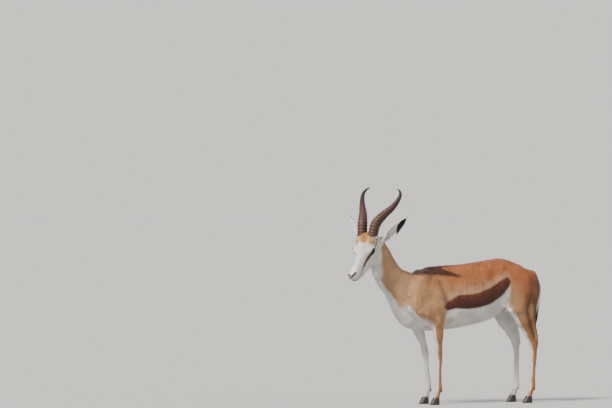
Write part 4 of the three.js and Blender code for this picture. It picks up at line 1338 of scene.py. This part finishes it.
horn_finish, nodes, links, shader = new_material("ringed horn", roughness=0.42)
fibres = add_noise(nodes, links, 260, (1.6, 1.6, 0.35), 6)
painted(nodes, links, shader, "horn_colour", add_range(nodes, links, fibres, 0.72, 1.25))
shader.inputs["Specular IOR Level"].default_value = 0.34
links.new(add_range(nodes, links, fibres, 0.34, 0.58), shader.inputs["Roughness"])
add_bump(nodes, links, shader, fibres, 0.45, 0.0014)

axis = smooth_line(HORN_LINE, np.linspace(0, 1, AXIS_POINTS))
windows = np.linspace(0, 1, WINDOWS)
for horn in horns:
    h = folded_head(points_of(horn))
    near = np.array([np.argmin(((axis - p) ** 2).sum(axis=1)) for p in h])
    t = near / (AXIS_POINTS - 1)
    thick = np.linalg.norm(h - axis[near], axis=1)
    mean = np.interp(t, windows, [thick[np.abs(t - at) < 0.03].mean() for at in windows])
    crest = np.clip((thick - mean) / 2.2, -1, 1) * (t < RIDGED_PART + 0.02)
    colour = mix(all_over(HORN_BROWN, len(h)), HORN_TIP, ease(t, 0.45, 0.95))
    # Worn crests with a painted highlight, then painted shade in the grooves
    colour = mix(colour, WORN_CREST_AND_HIGHLIGHT, ease(crest, 0.1, 0.8) * 0.6)
    colour = mix(colour, GROOVE_SHADE, ease(-crest, 0.0, 0.5) * 0.7)
    colour *= (1 + 0.12 * mottle(points_of(horn), 22 * MM, 5))[:, None]
    paint(horn, np.clip(colour, 0.01, 1), "horn_colour")
    horn.data.materials.append(horn_finish)
print("horns painted, crests on", round(float((crest > 0.5).mean()), 2), "of the points")

# %% [markdown]
# Hooves are black horn too, but grow from the coronet down, so their layers lie level: the noise is
# stretched sideways and mixes a darker and a browner black.

# %% Hoof
HOOF, HOOF_DARK, HOOF_BROWN = (0.02, 0.017, 0.016), (0.008, 0.007, 0.007), (0.034, 0.027, 0.023)

hoof_finish, nodes, links, shader = new_material("black hoof", HOOF, 0.36)
layers = add_noise(nodes, links, 90, (0.5, 0.5, 6.0), 4)
tone = nodes.new("ShaderNodeMix")
tone.data_type = "RGBA"
tone.inputs["A"].default_value = (*HOOF_DARK, 1)
tone.inputs["B"].default_value = (*HOOF_BROWN, 1)
links.new(add_range(nodes, links, layers, 0, 0.8), tone.inputs["Factor"])
links.new(tone.outputs["Result"], shader.inputs["Base Color"])
links.new(add_range(nodes, links, layers, 0.3, 0.55), shader.inputs["Roughness"])
add_bump(nodes, links, shader, layers, 0.35, 0.001)
for piece in [*claws, dewclaws]:
    piece.data.materials.append(hoof_finish)
print("hooves finished", len(claws) + 1)

# %% [markdown]
# The eye is wet, so its roughness is low. An antelope's iris is dark brown, its pupil lies level and
# long, and the rim of the ball is black.

# %% Eye
EYE_BROWN, IRIS = (0.014, 0.007, 0.0045), (0.026, 0.013, 0.007)
PUPIL, EYE_RIM = (0.002, 0.002, 0.0025), (0.004, 0.003, 0.003)
PUPIL_LONG, PUPIL_HIGH = 7.4, 4.4

eye_finish, nodes, links, shader = new_material("wet dark eye", roughness=0.05)
veins = add_noise(nodes, links, 420, (1, 1, 1), 3)
painted(nodes, links, shader, "eye_colour", add_range(nodes, links, veins, 0.85, 1.15))
shader.inputs["Specular IOR Level"].default_value = 0.32
for ball, side in zip(eyes, SIDES.values()):
    u, v, _, _ = eye_places(points_of(ball), side)
    r = np.hypot(u, v)
    colour = mix(all_over(EYE_BROWN, len(u)), IRIS, ease(r, 5, 9) * 0.6)
    colour = mix(colour, PUPIL, fade(np.hypot(u / PUPIL_LONG, v / PUPIL_HIGH), 0.85, 1.1))
    colour = mix(colour, EYE_RIM, ease(r, 10.2, 11.6))
    paint(ball, colour, "eye_colour")
    ball.data.materials.append(eye_finish)
print("eyes painted", len(eyes))

# %% [markdown]
# The ears are thinly haired and black at the end. The left one, nearer to the camera, is black there
# on both faces and nearly white inside. The right one is black on its back and at its very tip, and
# inside, between rows of white hair, it carries a lilac painted shade, which the left one has only lightly.

# %% Paint the ears
EAR_BACK, EAR_END, EAR_TIP_BLACK = (0.74, 0.70, 0.68), (0.012, 0.009, 0.009), (0.02, 0.015, 0.014)
EAR_ROOT_SKIN, LILAC_SHADE, EAR_HAIR = (0.40, 0.32, 0.31), (0.66, 0.58, 0.62), (0.80, 0.77, 0.76)


def ear_places(points):
    """Share of the ear's length, and place across it from -1 to 1."""
    from_root = folded_head(points) - EAR_ROOT
    share = from_root @ EAR_ALONG / EAR_LENGTH
    half = np.interp(share, EAR_ROWS[:, 0], EAR_ROWS[:, 1])
    return share, from_root @ EAR_ACROSS / np.maximum(half, 1)


def ear_facing(points, normals):
    """How far the surface looks out of the ear's opening, by normals folded to the left side."""
    n = turned_by(TO_HEAD, normals)
    n[:, 1] *= np.sign(in_head(points)[:, 1])
    return n @ EAR_LOOKS


def ear_colours(points, normals):
    share, across = ear_places(points)
    left = in_head(points)[:, 1] > 0
    facing = ear_facing(points, normals)
    inside = ease(facing, 0.05, 0.35)
    root = fade(share, 0.02, 0.22)
    colour = mix(all_over(EAR_BACK, len(points)), FAWN, root * (1 - inside))
    colour = mix(colour, EAR_ROOT_SKIN, root * inside * 0.8)
    colour = mix(colour, WHITE, inside * ease(share, 0.1, 0.3) * np.where(left, 0.8, 0.0))
    # Lilac painted shade over the white inner hair, heavy on the right ear and light on the left
    colour = mix(colour, LILAC_SHADE, inside * np.where(left, 0.2, 0.8))
    hair_rows = np.maximum(ease(np.abs(across), 0.56, 0.85), 0.8 * ease(np.cos(across * 9), 0.3, 0.8))
    colour = mix(colour, EAR_HAIR, inside * hair_rows * ease(share, 0.1, 0.2))
    black = ease(share + 0.18 * across, 0.59, 0.64) * np.where(left | (facing < 0.05), 1, 0)
    colour = mix(colour, EAR_END, black)
    colour = mix(colour, EAR_TIP_BLACK, ease(share, 0.93, 0.97))
    return np.clip(colour * (1 + 0.06 * mottle(points, 12 * MM, 6))[:, None], 0.004, 0.9)


for ear in ears:
    paint(ear, ear_colours(points_of(ear), normals_of(ear)))
    ear.data.materials.append(skin_finish)
print("ears painted", len(ears))

# %% [markdown]
# The tail is white down to its tuft, which is dark brown, with a ragged border between them.

# %% Paint the dock
TAIL_DARK = (0.06, 0.026, 0.018)
TUFT_FROM, TUFT_FULL = 0.535, 0.505


def tail_colours(points):
    dark = fade(points[:, 2] + 0.006 * mottle(points, 20 * MM, 8), TUFT_FULL, TUFT_FROM)
    colour = mix(all_over(WHITE, len(points)), TAIL_DARK, dark)
    return np.clip(colour * (1 + 0.05 * mottle(points, 15 * MM, 7))[:, None], 0.004, 0.9)


paint(dock, tail_colours(points_of(dock)))
dock.data.materials.append(skin_finish)
print("dock painted")

# %% [markdown]
# The coat. Real hairs are too fine to model one by one, so each tuft is a thin closed wedge of four
# points that lies along the body and overlaps the next. Hair does not lie at random: it runs back along
# the trunk, down the legs and back from the nose, so its lie is a smooth field of directions.

# %% The lie of the coat
def tangent(flow, normals):
    """The flow laid flat onto the surface, with a spare direction where it stands straight on it."""
    flow = flow - normals * (flow * normals).sum(axis=1, keepdims=True)
    size = np.linalg.norm(flow, axis=1, keepdims=True)
    spare = np.cross(normals, np.array([0.31, 0.9, 0.3]))
    return unit(np.where(size > 0.12, flow, spare))


def lie_of_coat(points, normals):
    x, off, z = folded_body(points).T
    h = in_head(points)
    flow = all_over((1.0, 0.0, -0.20), len(x))
    flow = mix(flow, (0.45, 0, -1.0), fade(x, -120, -10) * fade(z, 560, 680))
    flow = mix(flow, (0.35, 0, -1.0), ease(x, 350, 450) * fade(z, 590, 700))
    flow = mix(flow, (0.52, 0.10, -0.85), fade(x, -250, -150) * ease(z, 500, 580))
    flow = mix(flow, (0.06, 0, -1.0), fade(z, 400, 470))
    back, aside = np.array(head_way((-1, 0, -0.10))), np.array(head_way((0, 0.22, 0)))
    face = back + aside * np.sign(h[:, 1])[:, None] * ease(np.abs(h[:, 1]), 4, 25)[:, None]
    on_face = (ease(h[:, 0], -40, 12) * ease(h[:, 2] + 0.6 * h[:, 0], -150, -100))[:, None]
    flow = flow * (1 - on_face) + face * on_face
    tuck = ease(off, 0, 40) * ease(x, 300, 420) * ease(z, 620, 680)
    flow[:, 1] += np.sign(points[:, 1] - MID_Y) * 0.16 * tuck
    return tangent(flow, normals)


# %% [markdown]
# The lengths follow the real coat: about a centimetre on the trunk, more on the croup, half that on
# the legs and the face, a little more round the horns and at the hooves' edge, and the shortest on the
# muzzle. Nothing grows under the lids, in the nostrils, between the lips or where the horns stand.

# %% The length of the coat and its bare places
def length_of_coat(points):
    """Millimetres."""
    x, off, z = folded_body(points).T
    along, aside, up = folded_head(points).T
    length = np.full(len(x), 11.5)
    length += 2.5 * ease(z, 690, 740) * (x > -200)
    length += 3.0 * ease(x, 300, 420) * fade(off, 14, 30) * ease(z, 690, 700)
    length += 2.0 * ease(x, 480, 520) * fade(off, 50, 80)
    on_face = ease(along, -30, 30) * ease(up + 0.6 * along, -150, -100)
    horn_foot = np.abs(line_distance(np.stack([along, aside, up], axis=1), [(36, 28, 54)]) - 27)
    for goal, share in [
        (6.4, fade(z, 380, 500)),
        (4.8, fade(z, 130, 260) * ease(z, 52, 60)),
        (9.0, fade(z, 44, 54)),
        (5.2, on_face),
        (3.0, ease(along, 170, 215) * on_face),
        (8.5, fade(horn_foot, 3, 9) * on_face),
    ]:
        length = length + (goal - length) * share
    return length


def bare(points):
    """True where no tuft grows: under the lids, in the nostrils and along the lips."""
    f = folded_head(points)
    none = (line_distance(f, NOSTRIL) < 4.4) | (line_distance(f, MOUTH) < 2.2)
    none |= line_distance(f, [(46, 26, 38), (10, 33, 70)]) < 21.5
    for side in SIDES.values():
        _, _, w, rho = eye_places(points, side)
        none |= (rho < 1.86) & (w > -8)
    return none


# %% [markdown]
# Roots are strewn evenly over a piece: each triangle gets as many as its area asks for, at random
# places. The piece is also unwrapped flat, and each root keeps its place there, so that colours baked
# later land on the right tufts.

# %% Strew roots over a piece
def unwrap(obj):
    """The place of each corner of the surface when it is laid flat."""
    edit_all(obj)
    bpy.ops.uv.smart_project(angle_limit=math.radians(66), island_margin=0.002)
    bpy.ops.object.mode_set(mode="OBJECT")
    return read_rows(obj.data.uv_layers.active.data, "uv", 2)


def strew(obj, density):
    """Roots, normals and unwrap places, with a density in tufts for each square millimetre."""
    flat = unwrap(obj)
    mesh = obj.data
    mesh.calc_loop_triangles()
    corners = read_rows(mesh.loop_triangles, "vertices", 3, np.int32)
    loops = read_rows(mesh.loop_triangles, "loops", 3, np.int32)
    p, n = points_of(obj), normals_of(obj)
    a, b, c = (p[corners[:, k]] for k in range(3))
    area = np.linalg.norm(np.cross(b - a, c - a), axis=1) / 2 / MM**2
    want = area * density((a + b + c) / 3, n[corners[:, 0]])
    count = np.floor(want + rng.random(len(want))).astype(int)
    which = np.repeat(np.arange(len(count)), count)
    r1, r2 = rng.random(len(which)), rng.random(len(which))
    r1, r2 = np.where(r1 + r2 > 1, 1 - r1, r1), np.where(r1 + r2 > 1, 1 - r2, r2)
    shares = np.stack([1 - r1 - r2, r1, r2], axis=1)[:, :, None]
    roots = (p[corners[which]] * shares).sum(axis=1)
    normals = (n[corners[which]] * shares).sum(axis=1)
    normals /= np.linalg.norm(normals, axis=1, keepdims=True) + 1e-12
    places = (flat[loops[which]] * shares).sum(axis=1)
    for layer in [layer.name for layer in mesh.uv_layers]:
        mesh.uv_layers.remove(mesh.uv_layers[layer])
    return roots, normals, places


# %% [markdown]
# Thousands of copies by operator would be slow, so a piece of hair is filled from arrays of points
# and triangles. Each tuft takes its own length, turn, height and tone, is painted darker at the root as
# shade and lighter at the tip as light, and has a small patch of the UV map OFBake at its root's place.

# %% Grow one piece of the coat
PATCH = 0.0015  # half the side of a tuft's patch in the UV map
TUFT = np.array([(0, 1, 3), (1, 2, 3), (0, 3, 2), (0, 2, 1)])  # root left, root right, ridge, tip
TUFT_PATCH = np.array([(-1, -1), (1, -1), (1, 1), (-1, 1)]) * PATCH
# Painted shade at the root and painted light at the tip of each tuft
TUFT_ROOT_SHADE_TIP_LIGHT = np.array([0.80, 0.80, 1.0, 1.10])


def hair_piece(name, points, faces, patches, colours):
    """A piece of triangles, with its UV map, its colour and its finish."""
    mesh = bpy.data.meshes.new(name)
    mesh.vertices.add(len(points))
    mesh.vertices.foreach_set("co", points.astype(np.float32).ravel())
    mesh.loops.add(faces.size)
    mesh.loops.foreach_set("vertex_index", faces.astype(np.int32).ravel())
    mesh.polygons.add(len(faces))
    mesh.polygons.foreach_set("loop_start", np.arange(0, faces.size, 3, dtype=np.int32))
    mesh.update(calc_edges=True)
    bake_map = mesh.uv_layers.new(name="OFBake")
    bake_map.data.foreach_set("uv", patches.astype(np.float32).ravel())
    hair = bpy.data.objects.new(name, mesh)
    bpy.context.collection.objects.link(hair)
    paint(hair, np.clip(colours, 0.003, 0.95))
    mesh.materials.append(hair_finish)
    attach(hair, "root")
    print(name, len(faces), "faces")
    return hair


def grow(name, roots, normals, flow, colours, length, places, stand=0.16, wide=0.13):
    """Lengths are in millimetres, and stand and wide are shares of them."""
    n = len(roots)
    length = length * rng.uniform(0.72, 1.22, n)
    turn = (0.22 * mottle(roots, 60 * MM, 9) + rng.normal(0, 0.13, n))[:, None]
    flow = flow * np.cos(turn) + np.cross(normals, flow) * np.sin(turn)
    side = np.cross(normals, flow)
    half = (wide * length + 0.22)[:, None] / 2 * MM
    tall = (stand * length + 0.2)[:, None] * MM * rng.uniform(0.7, 1.2, (n, 1))
    long = length[:, None] * MM
    sunk = roots - normals * 0.45 * MM
    corners = np.stack([
        sunk - side * half,
        sunk + side * half,
        roots + flow * long * 0.36 + normals * tall * 0.72,
        roots + flow * long + normals * tall * 0.95,
    ], axis=1)
    each = np.arange(n)[:, None, None]
    faces = (TUFT[None] + each * 4).reshape(-1, 3)
    patches = (places[:, None] + TUFT_PATCH[None])[each, TUFT[None]]
    own = colours * rng.normal(1, 0.075, (n, 1))
    shades = own[:, None] * TUFT_ROOT_SHADE_TIP_LIGHT[None, :, None]
    hair_piece(name, corners.reshape(-1, 3), faces, patches, shades.reshape(-1, 3))
    return len(faces)


# %% [markdown]
# The body's coat is parted into sixteen regions, so that no piece grows too large. Shorter hair
# stands closer, and each tuft asks for its colour a little way off its root, which frays the borders
# of the markings as real hair does.

# %% The coat of the body and the head
REGIONS = [
    (f"{part}_{word}", slot)
    for part, slot in [
        ("foreleg", "coat_fawn"), ("hindleg", "coat_fawn"), ("neck", "coat_fawn"),
        ("shoulder", "coat_fawn"), ("flank", "coat_cinnamon"), ("rump", "coat_cinnamon"),
        ("cheek", "coat_white"), ("muzzle", "coat_white"),
    ]
    for word in SIDES
]


def body_density(points, normals):
    """Tufts for each square millimetre of skin."""
    length = length_of_coat(points)
    return 0.95 * 2.1 / (length * (0.13 * length + 0.22)) ** 0.86 * ~bare(points)


def region_of(points):
    """The number of a point's region."""
    x, _, z = folded_body(points).T
    h = in_head(points)
    leg = np.where(x < 200, 0, 1)
    part = np.select([z < 400, x < -150, x < 120, x < 340], [leg, 2, 3, 4], 5)
    region = part * 2 + (points[:, 1] > MID_Y).astype(int)
    on_head = (h[:, 0] > -12) & (h[:, 2] + 0.6 * h[:, 0] > -130)
    return np.where(on_head, 12 + (h[:, 1] < 0) + 2 * (h[:, 0] > 110), region)


roots, normals, places = strew(skin, body_density)
flow = lie_of_coat(roots, normals)
lengths = length_of_coat(roots)
jitter = rng.normal(0, 1, roots.shape) * (0.22 * lengths * MM)[:, None]
tuft_colours = coat_colours(roots + jitter, normals)
region = region_of(roots)
grown = 0
for number, (word, slot) in enumerate(REGIONS):
    here = region == number
    grown += grow(
        "coat_" + word, roots[here], normals[here], flow[here], tuft_colours[here], lengths[here],
        places[here],
    )
print("body coat", grown, "faces")

# %% [markdown]
# The lids are pieces of their own, and so is their coat. It starts a little way out from the wet edge
# and grows longer towards the hide, where it meets the coat of the head.

# %% The coat of the lids
for (word, side), lid in zip(SIDES.items(), lids):
    roots, normals, places = strew(lid, lambda p, n: 0.75 * (eye_places(p, side)[3] > 1.16))
    short = 2.0 + 2.2 * ease(eye_places(roots, side)[3], 1.2, 1.8)
    grown += grow(
        f"coat_lids_{word}", roots, normals, lie_of_coat(roots, normals), coat_colours(roots, normals),
        short, places, stand=0.10,
    )

# %% [markdown]
# An ear is short haired on its back. Inside, longer hairs stand thinly in the middle of the cup and
# closer along its edges. The dock's hair is long and hangs down into the tuft.

# %% The coat of the ears and the dock
def ear_density(points, normals):
    share, across = ear_places(points)
    inner = np.where(np.abs(across) > 0.5, 0.5, 0.16)
    return np.where(ear_facing(points, normals) > 0.1, inner, 0.62) * (share > 0.0)


for word, ear in zip(SIDES, ears):
    roots, normals, places = strew(ear, ear_density)
    share, _ = ear_places(roots)
    way = all_over(EAR_ALONG, len(roots))
    way[:, 1] *= np.sign(in_head(roots)[:, 1])
    way = tangent(turned_by(HEAD, way), normals)
    length = np.where(ear_facing(roots, normals) > 0.1, 9.0, 5.0) * (1 - 0.45 * ease(share, 0.7, 1.0))
    jitter = rng.normal(0, 1, roots.shape) * 1.5 * MM
    grown += grow(
        f"coat_ear_{word}", roots, normals, way, ear_colours(roots + jitter, normals), length, places,
        stand=0.11,
    )

roots, normals, places = strew(dock, lambda p, n: np.full(len(p), 0.5))
way = tangent(all_over((0.05, 0, -1.0), len(roots)), normals)
grown += grow(
    "coat_dock", roots, normals, way, tail_colours(roots), np.full(len(roots), 12.0), places,
)
print("coat", grown, "faces")

# %% [markdown]
# The tail's tuft is long hair. Each lock is a thin three-sided taper that leaves the dock, swells away
# from it and hangs down along it.

# %% Locks as tapers along lines
def locks(name, lines, radii, colours, places):
    """Three-sided tapers along lines of equal length, in one mesh."""
    n, steps = lines.shape[:2]
    along = unit(np.gradient(lines, axis=1))
    across = unit(np.cross(along, np.array([0.2, 0.1, 1.0]) + rng.normal(0, 0.3, (n, 1, 3))))
    third = np.cross(along, across)
    taper = np.linspace(1, 0, steps) ** 0.7 + 0.04
    radius = (radii[:, None] * taper)[:, :, None, None]
    angle = np.arange(3) * 2 * math.pi / 3
    c, s = np.cos(angle), np.sin(angle)
    points = (
        lines[:, :, None]
        + across[:, :, None] * (c[None, None, :, None] * radius)
        + third[:, :, None] * (s[None, None, :, None] * radius)
    )
    faces = [(0, 2, 1), tuple((steps - 1) * 3 + k for k in range(3))]
    for i in range(steps - 1):
        for k in range(3):
            a, b = i * 3 + k, i * 3 + (k + 1) % 3
            faces += [(a, b, b + 3), (a, b + 3, a + 3)]
    faces = np.array(faces)
    whole = (faces[None] + np.arange(n)[:, None, None] * steps * 3).reshape(-1, 3)
    patches = places[:, None, None] + (np.stack([c, s], axis=1) * PATCH)[faces % 3][None]
    # Each lock is painted darker at its root and lighter at its end, as shade and light
    shades = (colours[:, None] * np.linspace(0.85, 1.1, steps)[None, :, None]).reshape(-1, 3)
    lock = hair_piece(name, points.reshape(-1, 3), whole, patches, np.repeat(shades, 3, axis=0))
    tidy_normals(lock)


# %% [markdown]
# The locks start all along the lower dock, at any angle round it. None hangs lower than the solid of
# the tail, and the fan is widest three quarters of the way down.

# %% The tail's tuft
LOCKS, LOCK_STEPS = 420, 8
start = rng.uniform(0.30, 1.0, LOCKS) ** 0.8
angle = rng.uniform(0, 2 * math.pi, LOCKS)
reach = np.linspace(0, 1, LOCK_STEPS)[None]
tail_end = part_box("tail")[0].z + 3 * MM
line = smooth_line(TAIL_LINE, np.linspace(0, 1, 200))
head_of = line[(start * 199).astype(int)]
long = np.minimum(rng.uniform(46, 100, LOCKS) * MM, head_of[:, 2] - tail_end)
away = np.stack([np.cos(angle) * 0.85, np.sin(angle)], axis=1)
fan = rng.uniform(5.5, 9.5, LOCKS) * MM * np.interp(start, [0.3, 0.75, 1.0], [0.85, 1.25, 0.55])
swell = np.sin(np.minimum(reach * 1.9 + 0.35, math.pi))
tail_locks = np.zeros((LOCKS, LOCK_STEPS, 3))
for k in range(2):
    tail_locks[:, :, k] = head_of[:, k:k + 1] + away[:, k:k + 1] * fan[:, None] * swell
tail_locks[:, :, 0] -= 0.16 * long[:, None] * reach
tail_locks[:, :, 2] = head_of[:, 2:3] - long[:, None] * reach
tuft_places = np.stack([angle / (2 * math.pi), start], axis=1) * 0.98 + 0.01
lock_colours = tail_colours(head_of - [0, 0, 0.012]) * rng.normal(1, 0.12, (LOCKS, 1))
lock_radii = rng.uniform(1.0, 1.7, LOCKS) * MM
locks("tail_locks", tail_locks, lock_radii, lock_colours, tuft_places)
print("locks", round(long.min() / MM), "to", round(long.max() / MM), "mm long")

# %% [markdown]
# The lashes are made the same way as the locks, much thinner. They stand along the upper lid, which is
# the first half turn round the eye's opening, and curl out and up.

# %% Lashes
LASHES, LASH_STEPS = 44, 6
LASH_RADIUS = 0.34 * MM
LASH_BLACK = (0.012, 0.009, 0.008)
for word, side in SIDES.items():
    turn = np.linspace(0.06, 0.46, LASHES) + rng.normal(0, 0.004, LASHES)
    c, s = np.cos(turn * 2 * math.pi)[:, None], np.sin(turn * 2 * math.pi)[:, None]
    r = 1.04 * lid_edge(c, s)
    on_ball = np.sqrt(np.maximum(EYE_RADIUS**2 - r**2, 4.0)) + 1.7
    t = np.linspace(0, 1, LASH_STEPS)[None]
    long = (6.2 + 2.0 * s) * rng.uniform(0.85, 1.1, (LASHES, 1))
    u = r * c + (c * 0.35 - 0.25) * long * t
    v = r * s + long * (0.05 * t + 0.55 * t**2)
    w = on_ball + long * (0.85 * t - 0.28 * t**2)
    lash_lines = from_eye(u, v, w, side).reshape(LASHES, LASH_STEPS, 3)
    locks(
        f"lashes_{word}", lash_lines, np.full(LASHES, LASH_RADIUS), all_over(LASH_BLACK, LASHES),
        np.stack([turn, np.full(LASHES, 0.5)], axis=1),
    )
print("lashes", round(long.min(), 1), "to", round(long.max(), 1), "long")

# %% [markdown]
# The studio: a pale floor, one broad soft key from the left front as the sun stands in the
# photograph, and an even pale surround that fills the shadows.

# %% Floor and light
bpy.ops.object.select_all(action="DESELECT")
bpy.ops.mesh.primitive_circle_add(vertices=96, radius=60, fill_type="NGON", location=(0, 0, 0))
floor = bpy.context.object
floor.name = "floor"
floor_paint, _, _, shader = new_material("pale floor", (0.4696, 0.4745, 0.4826), 0.9)
shader.inputs["Specular IOR Level"].default_value = 0.0
floor.data.materials.append(floor_paint)

world = bpy.data.worlds.new("studio")
bpy.context.scene.world = world
world.use_nodes = True
surround = world.node_tree.nodes["Background"]
surround.inputs["Color"].default_value = (0.97, 0.95, 0.92, 1)
surround.inputs["Strength"].default_value = 1.0

key = bpy.data.lights.new("key", "SUN")
key.energy = 5.0
key.angle = math.radians(14)
key.color = (1.0, 0.96, 0.9)
key_lamp = bpy.data.objects.new("key", key)
bpy.context.collection.objects.link(key_lamp)
key_lamp.rotation_euler = Vector((-0.85, -0.42, 0.9)).to_track_quat("Z", "Y").to_euler()
print("key", key.energy, "surround", surround.inputs["Strength"].default_value)

# %% [markdown]
# The camera looks as the photograph does: from a little ahead of square to the ram's left side, and
# low, with a long lens, so that near and far legs come out alike. Its frame is the photograph's.

# %% Camera
AZIMUTH, ELEVATION = math.radians(-27), math.radians(0.8)
LENS, SENSOR = 400, 36
PIXEL = 5.3 * MM  # on the ram, for each pixel of the photograph's frame
FRAME_WIDE, FRAME_HIGH = 612, 408
RAM_AT = (440.9, 404.5)  # where the origin falls in that frame
distance = FRAME_WIDE * PIXEL * LENS / SENSOR
level = math.cos(ELEVATION)
back = Vector((math.sin(AZIMUTH) * level, -math.cos(AZIMUTH) * level, math.sin(ELEVATION)))
right = Vector((math.cos(AZIMUTH), math.sin(AZIMUTH), 0))
up = back.cross(right)
aim = right * (FRAME_WIDE / 2 - RAM_AT[0]) * PIXEL + up * (RAM_AT[1] - FRAME_HIGH / 2) * PIXEL
camera = bpy.data.cameras.new("camera")
camera.lens = LENS
camera.sensor_width = SENSOR
camera.clip_end = 400
camera_stand = bpy.data.objects.new("camera", camera)
bpy.context.collection.objects.link(camera_stand)
camera_stand.location = aim + back * distance
camera_stand.rotation_euler = back.to_track_quat("Z", "Y").to_euler()
bpy.context.scene.camera = camera_stand
print("camera", round(distance, 2), "m away")

# %% [markdown]
# Last, the view layer is updated.

bpy.context.view_layer.update()
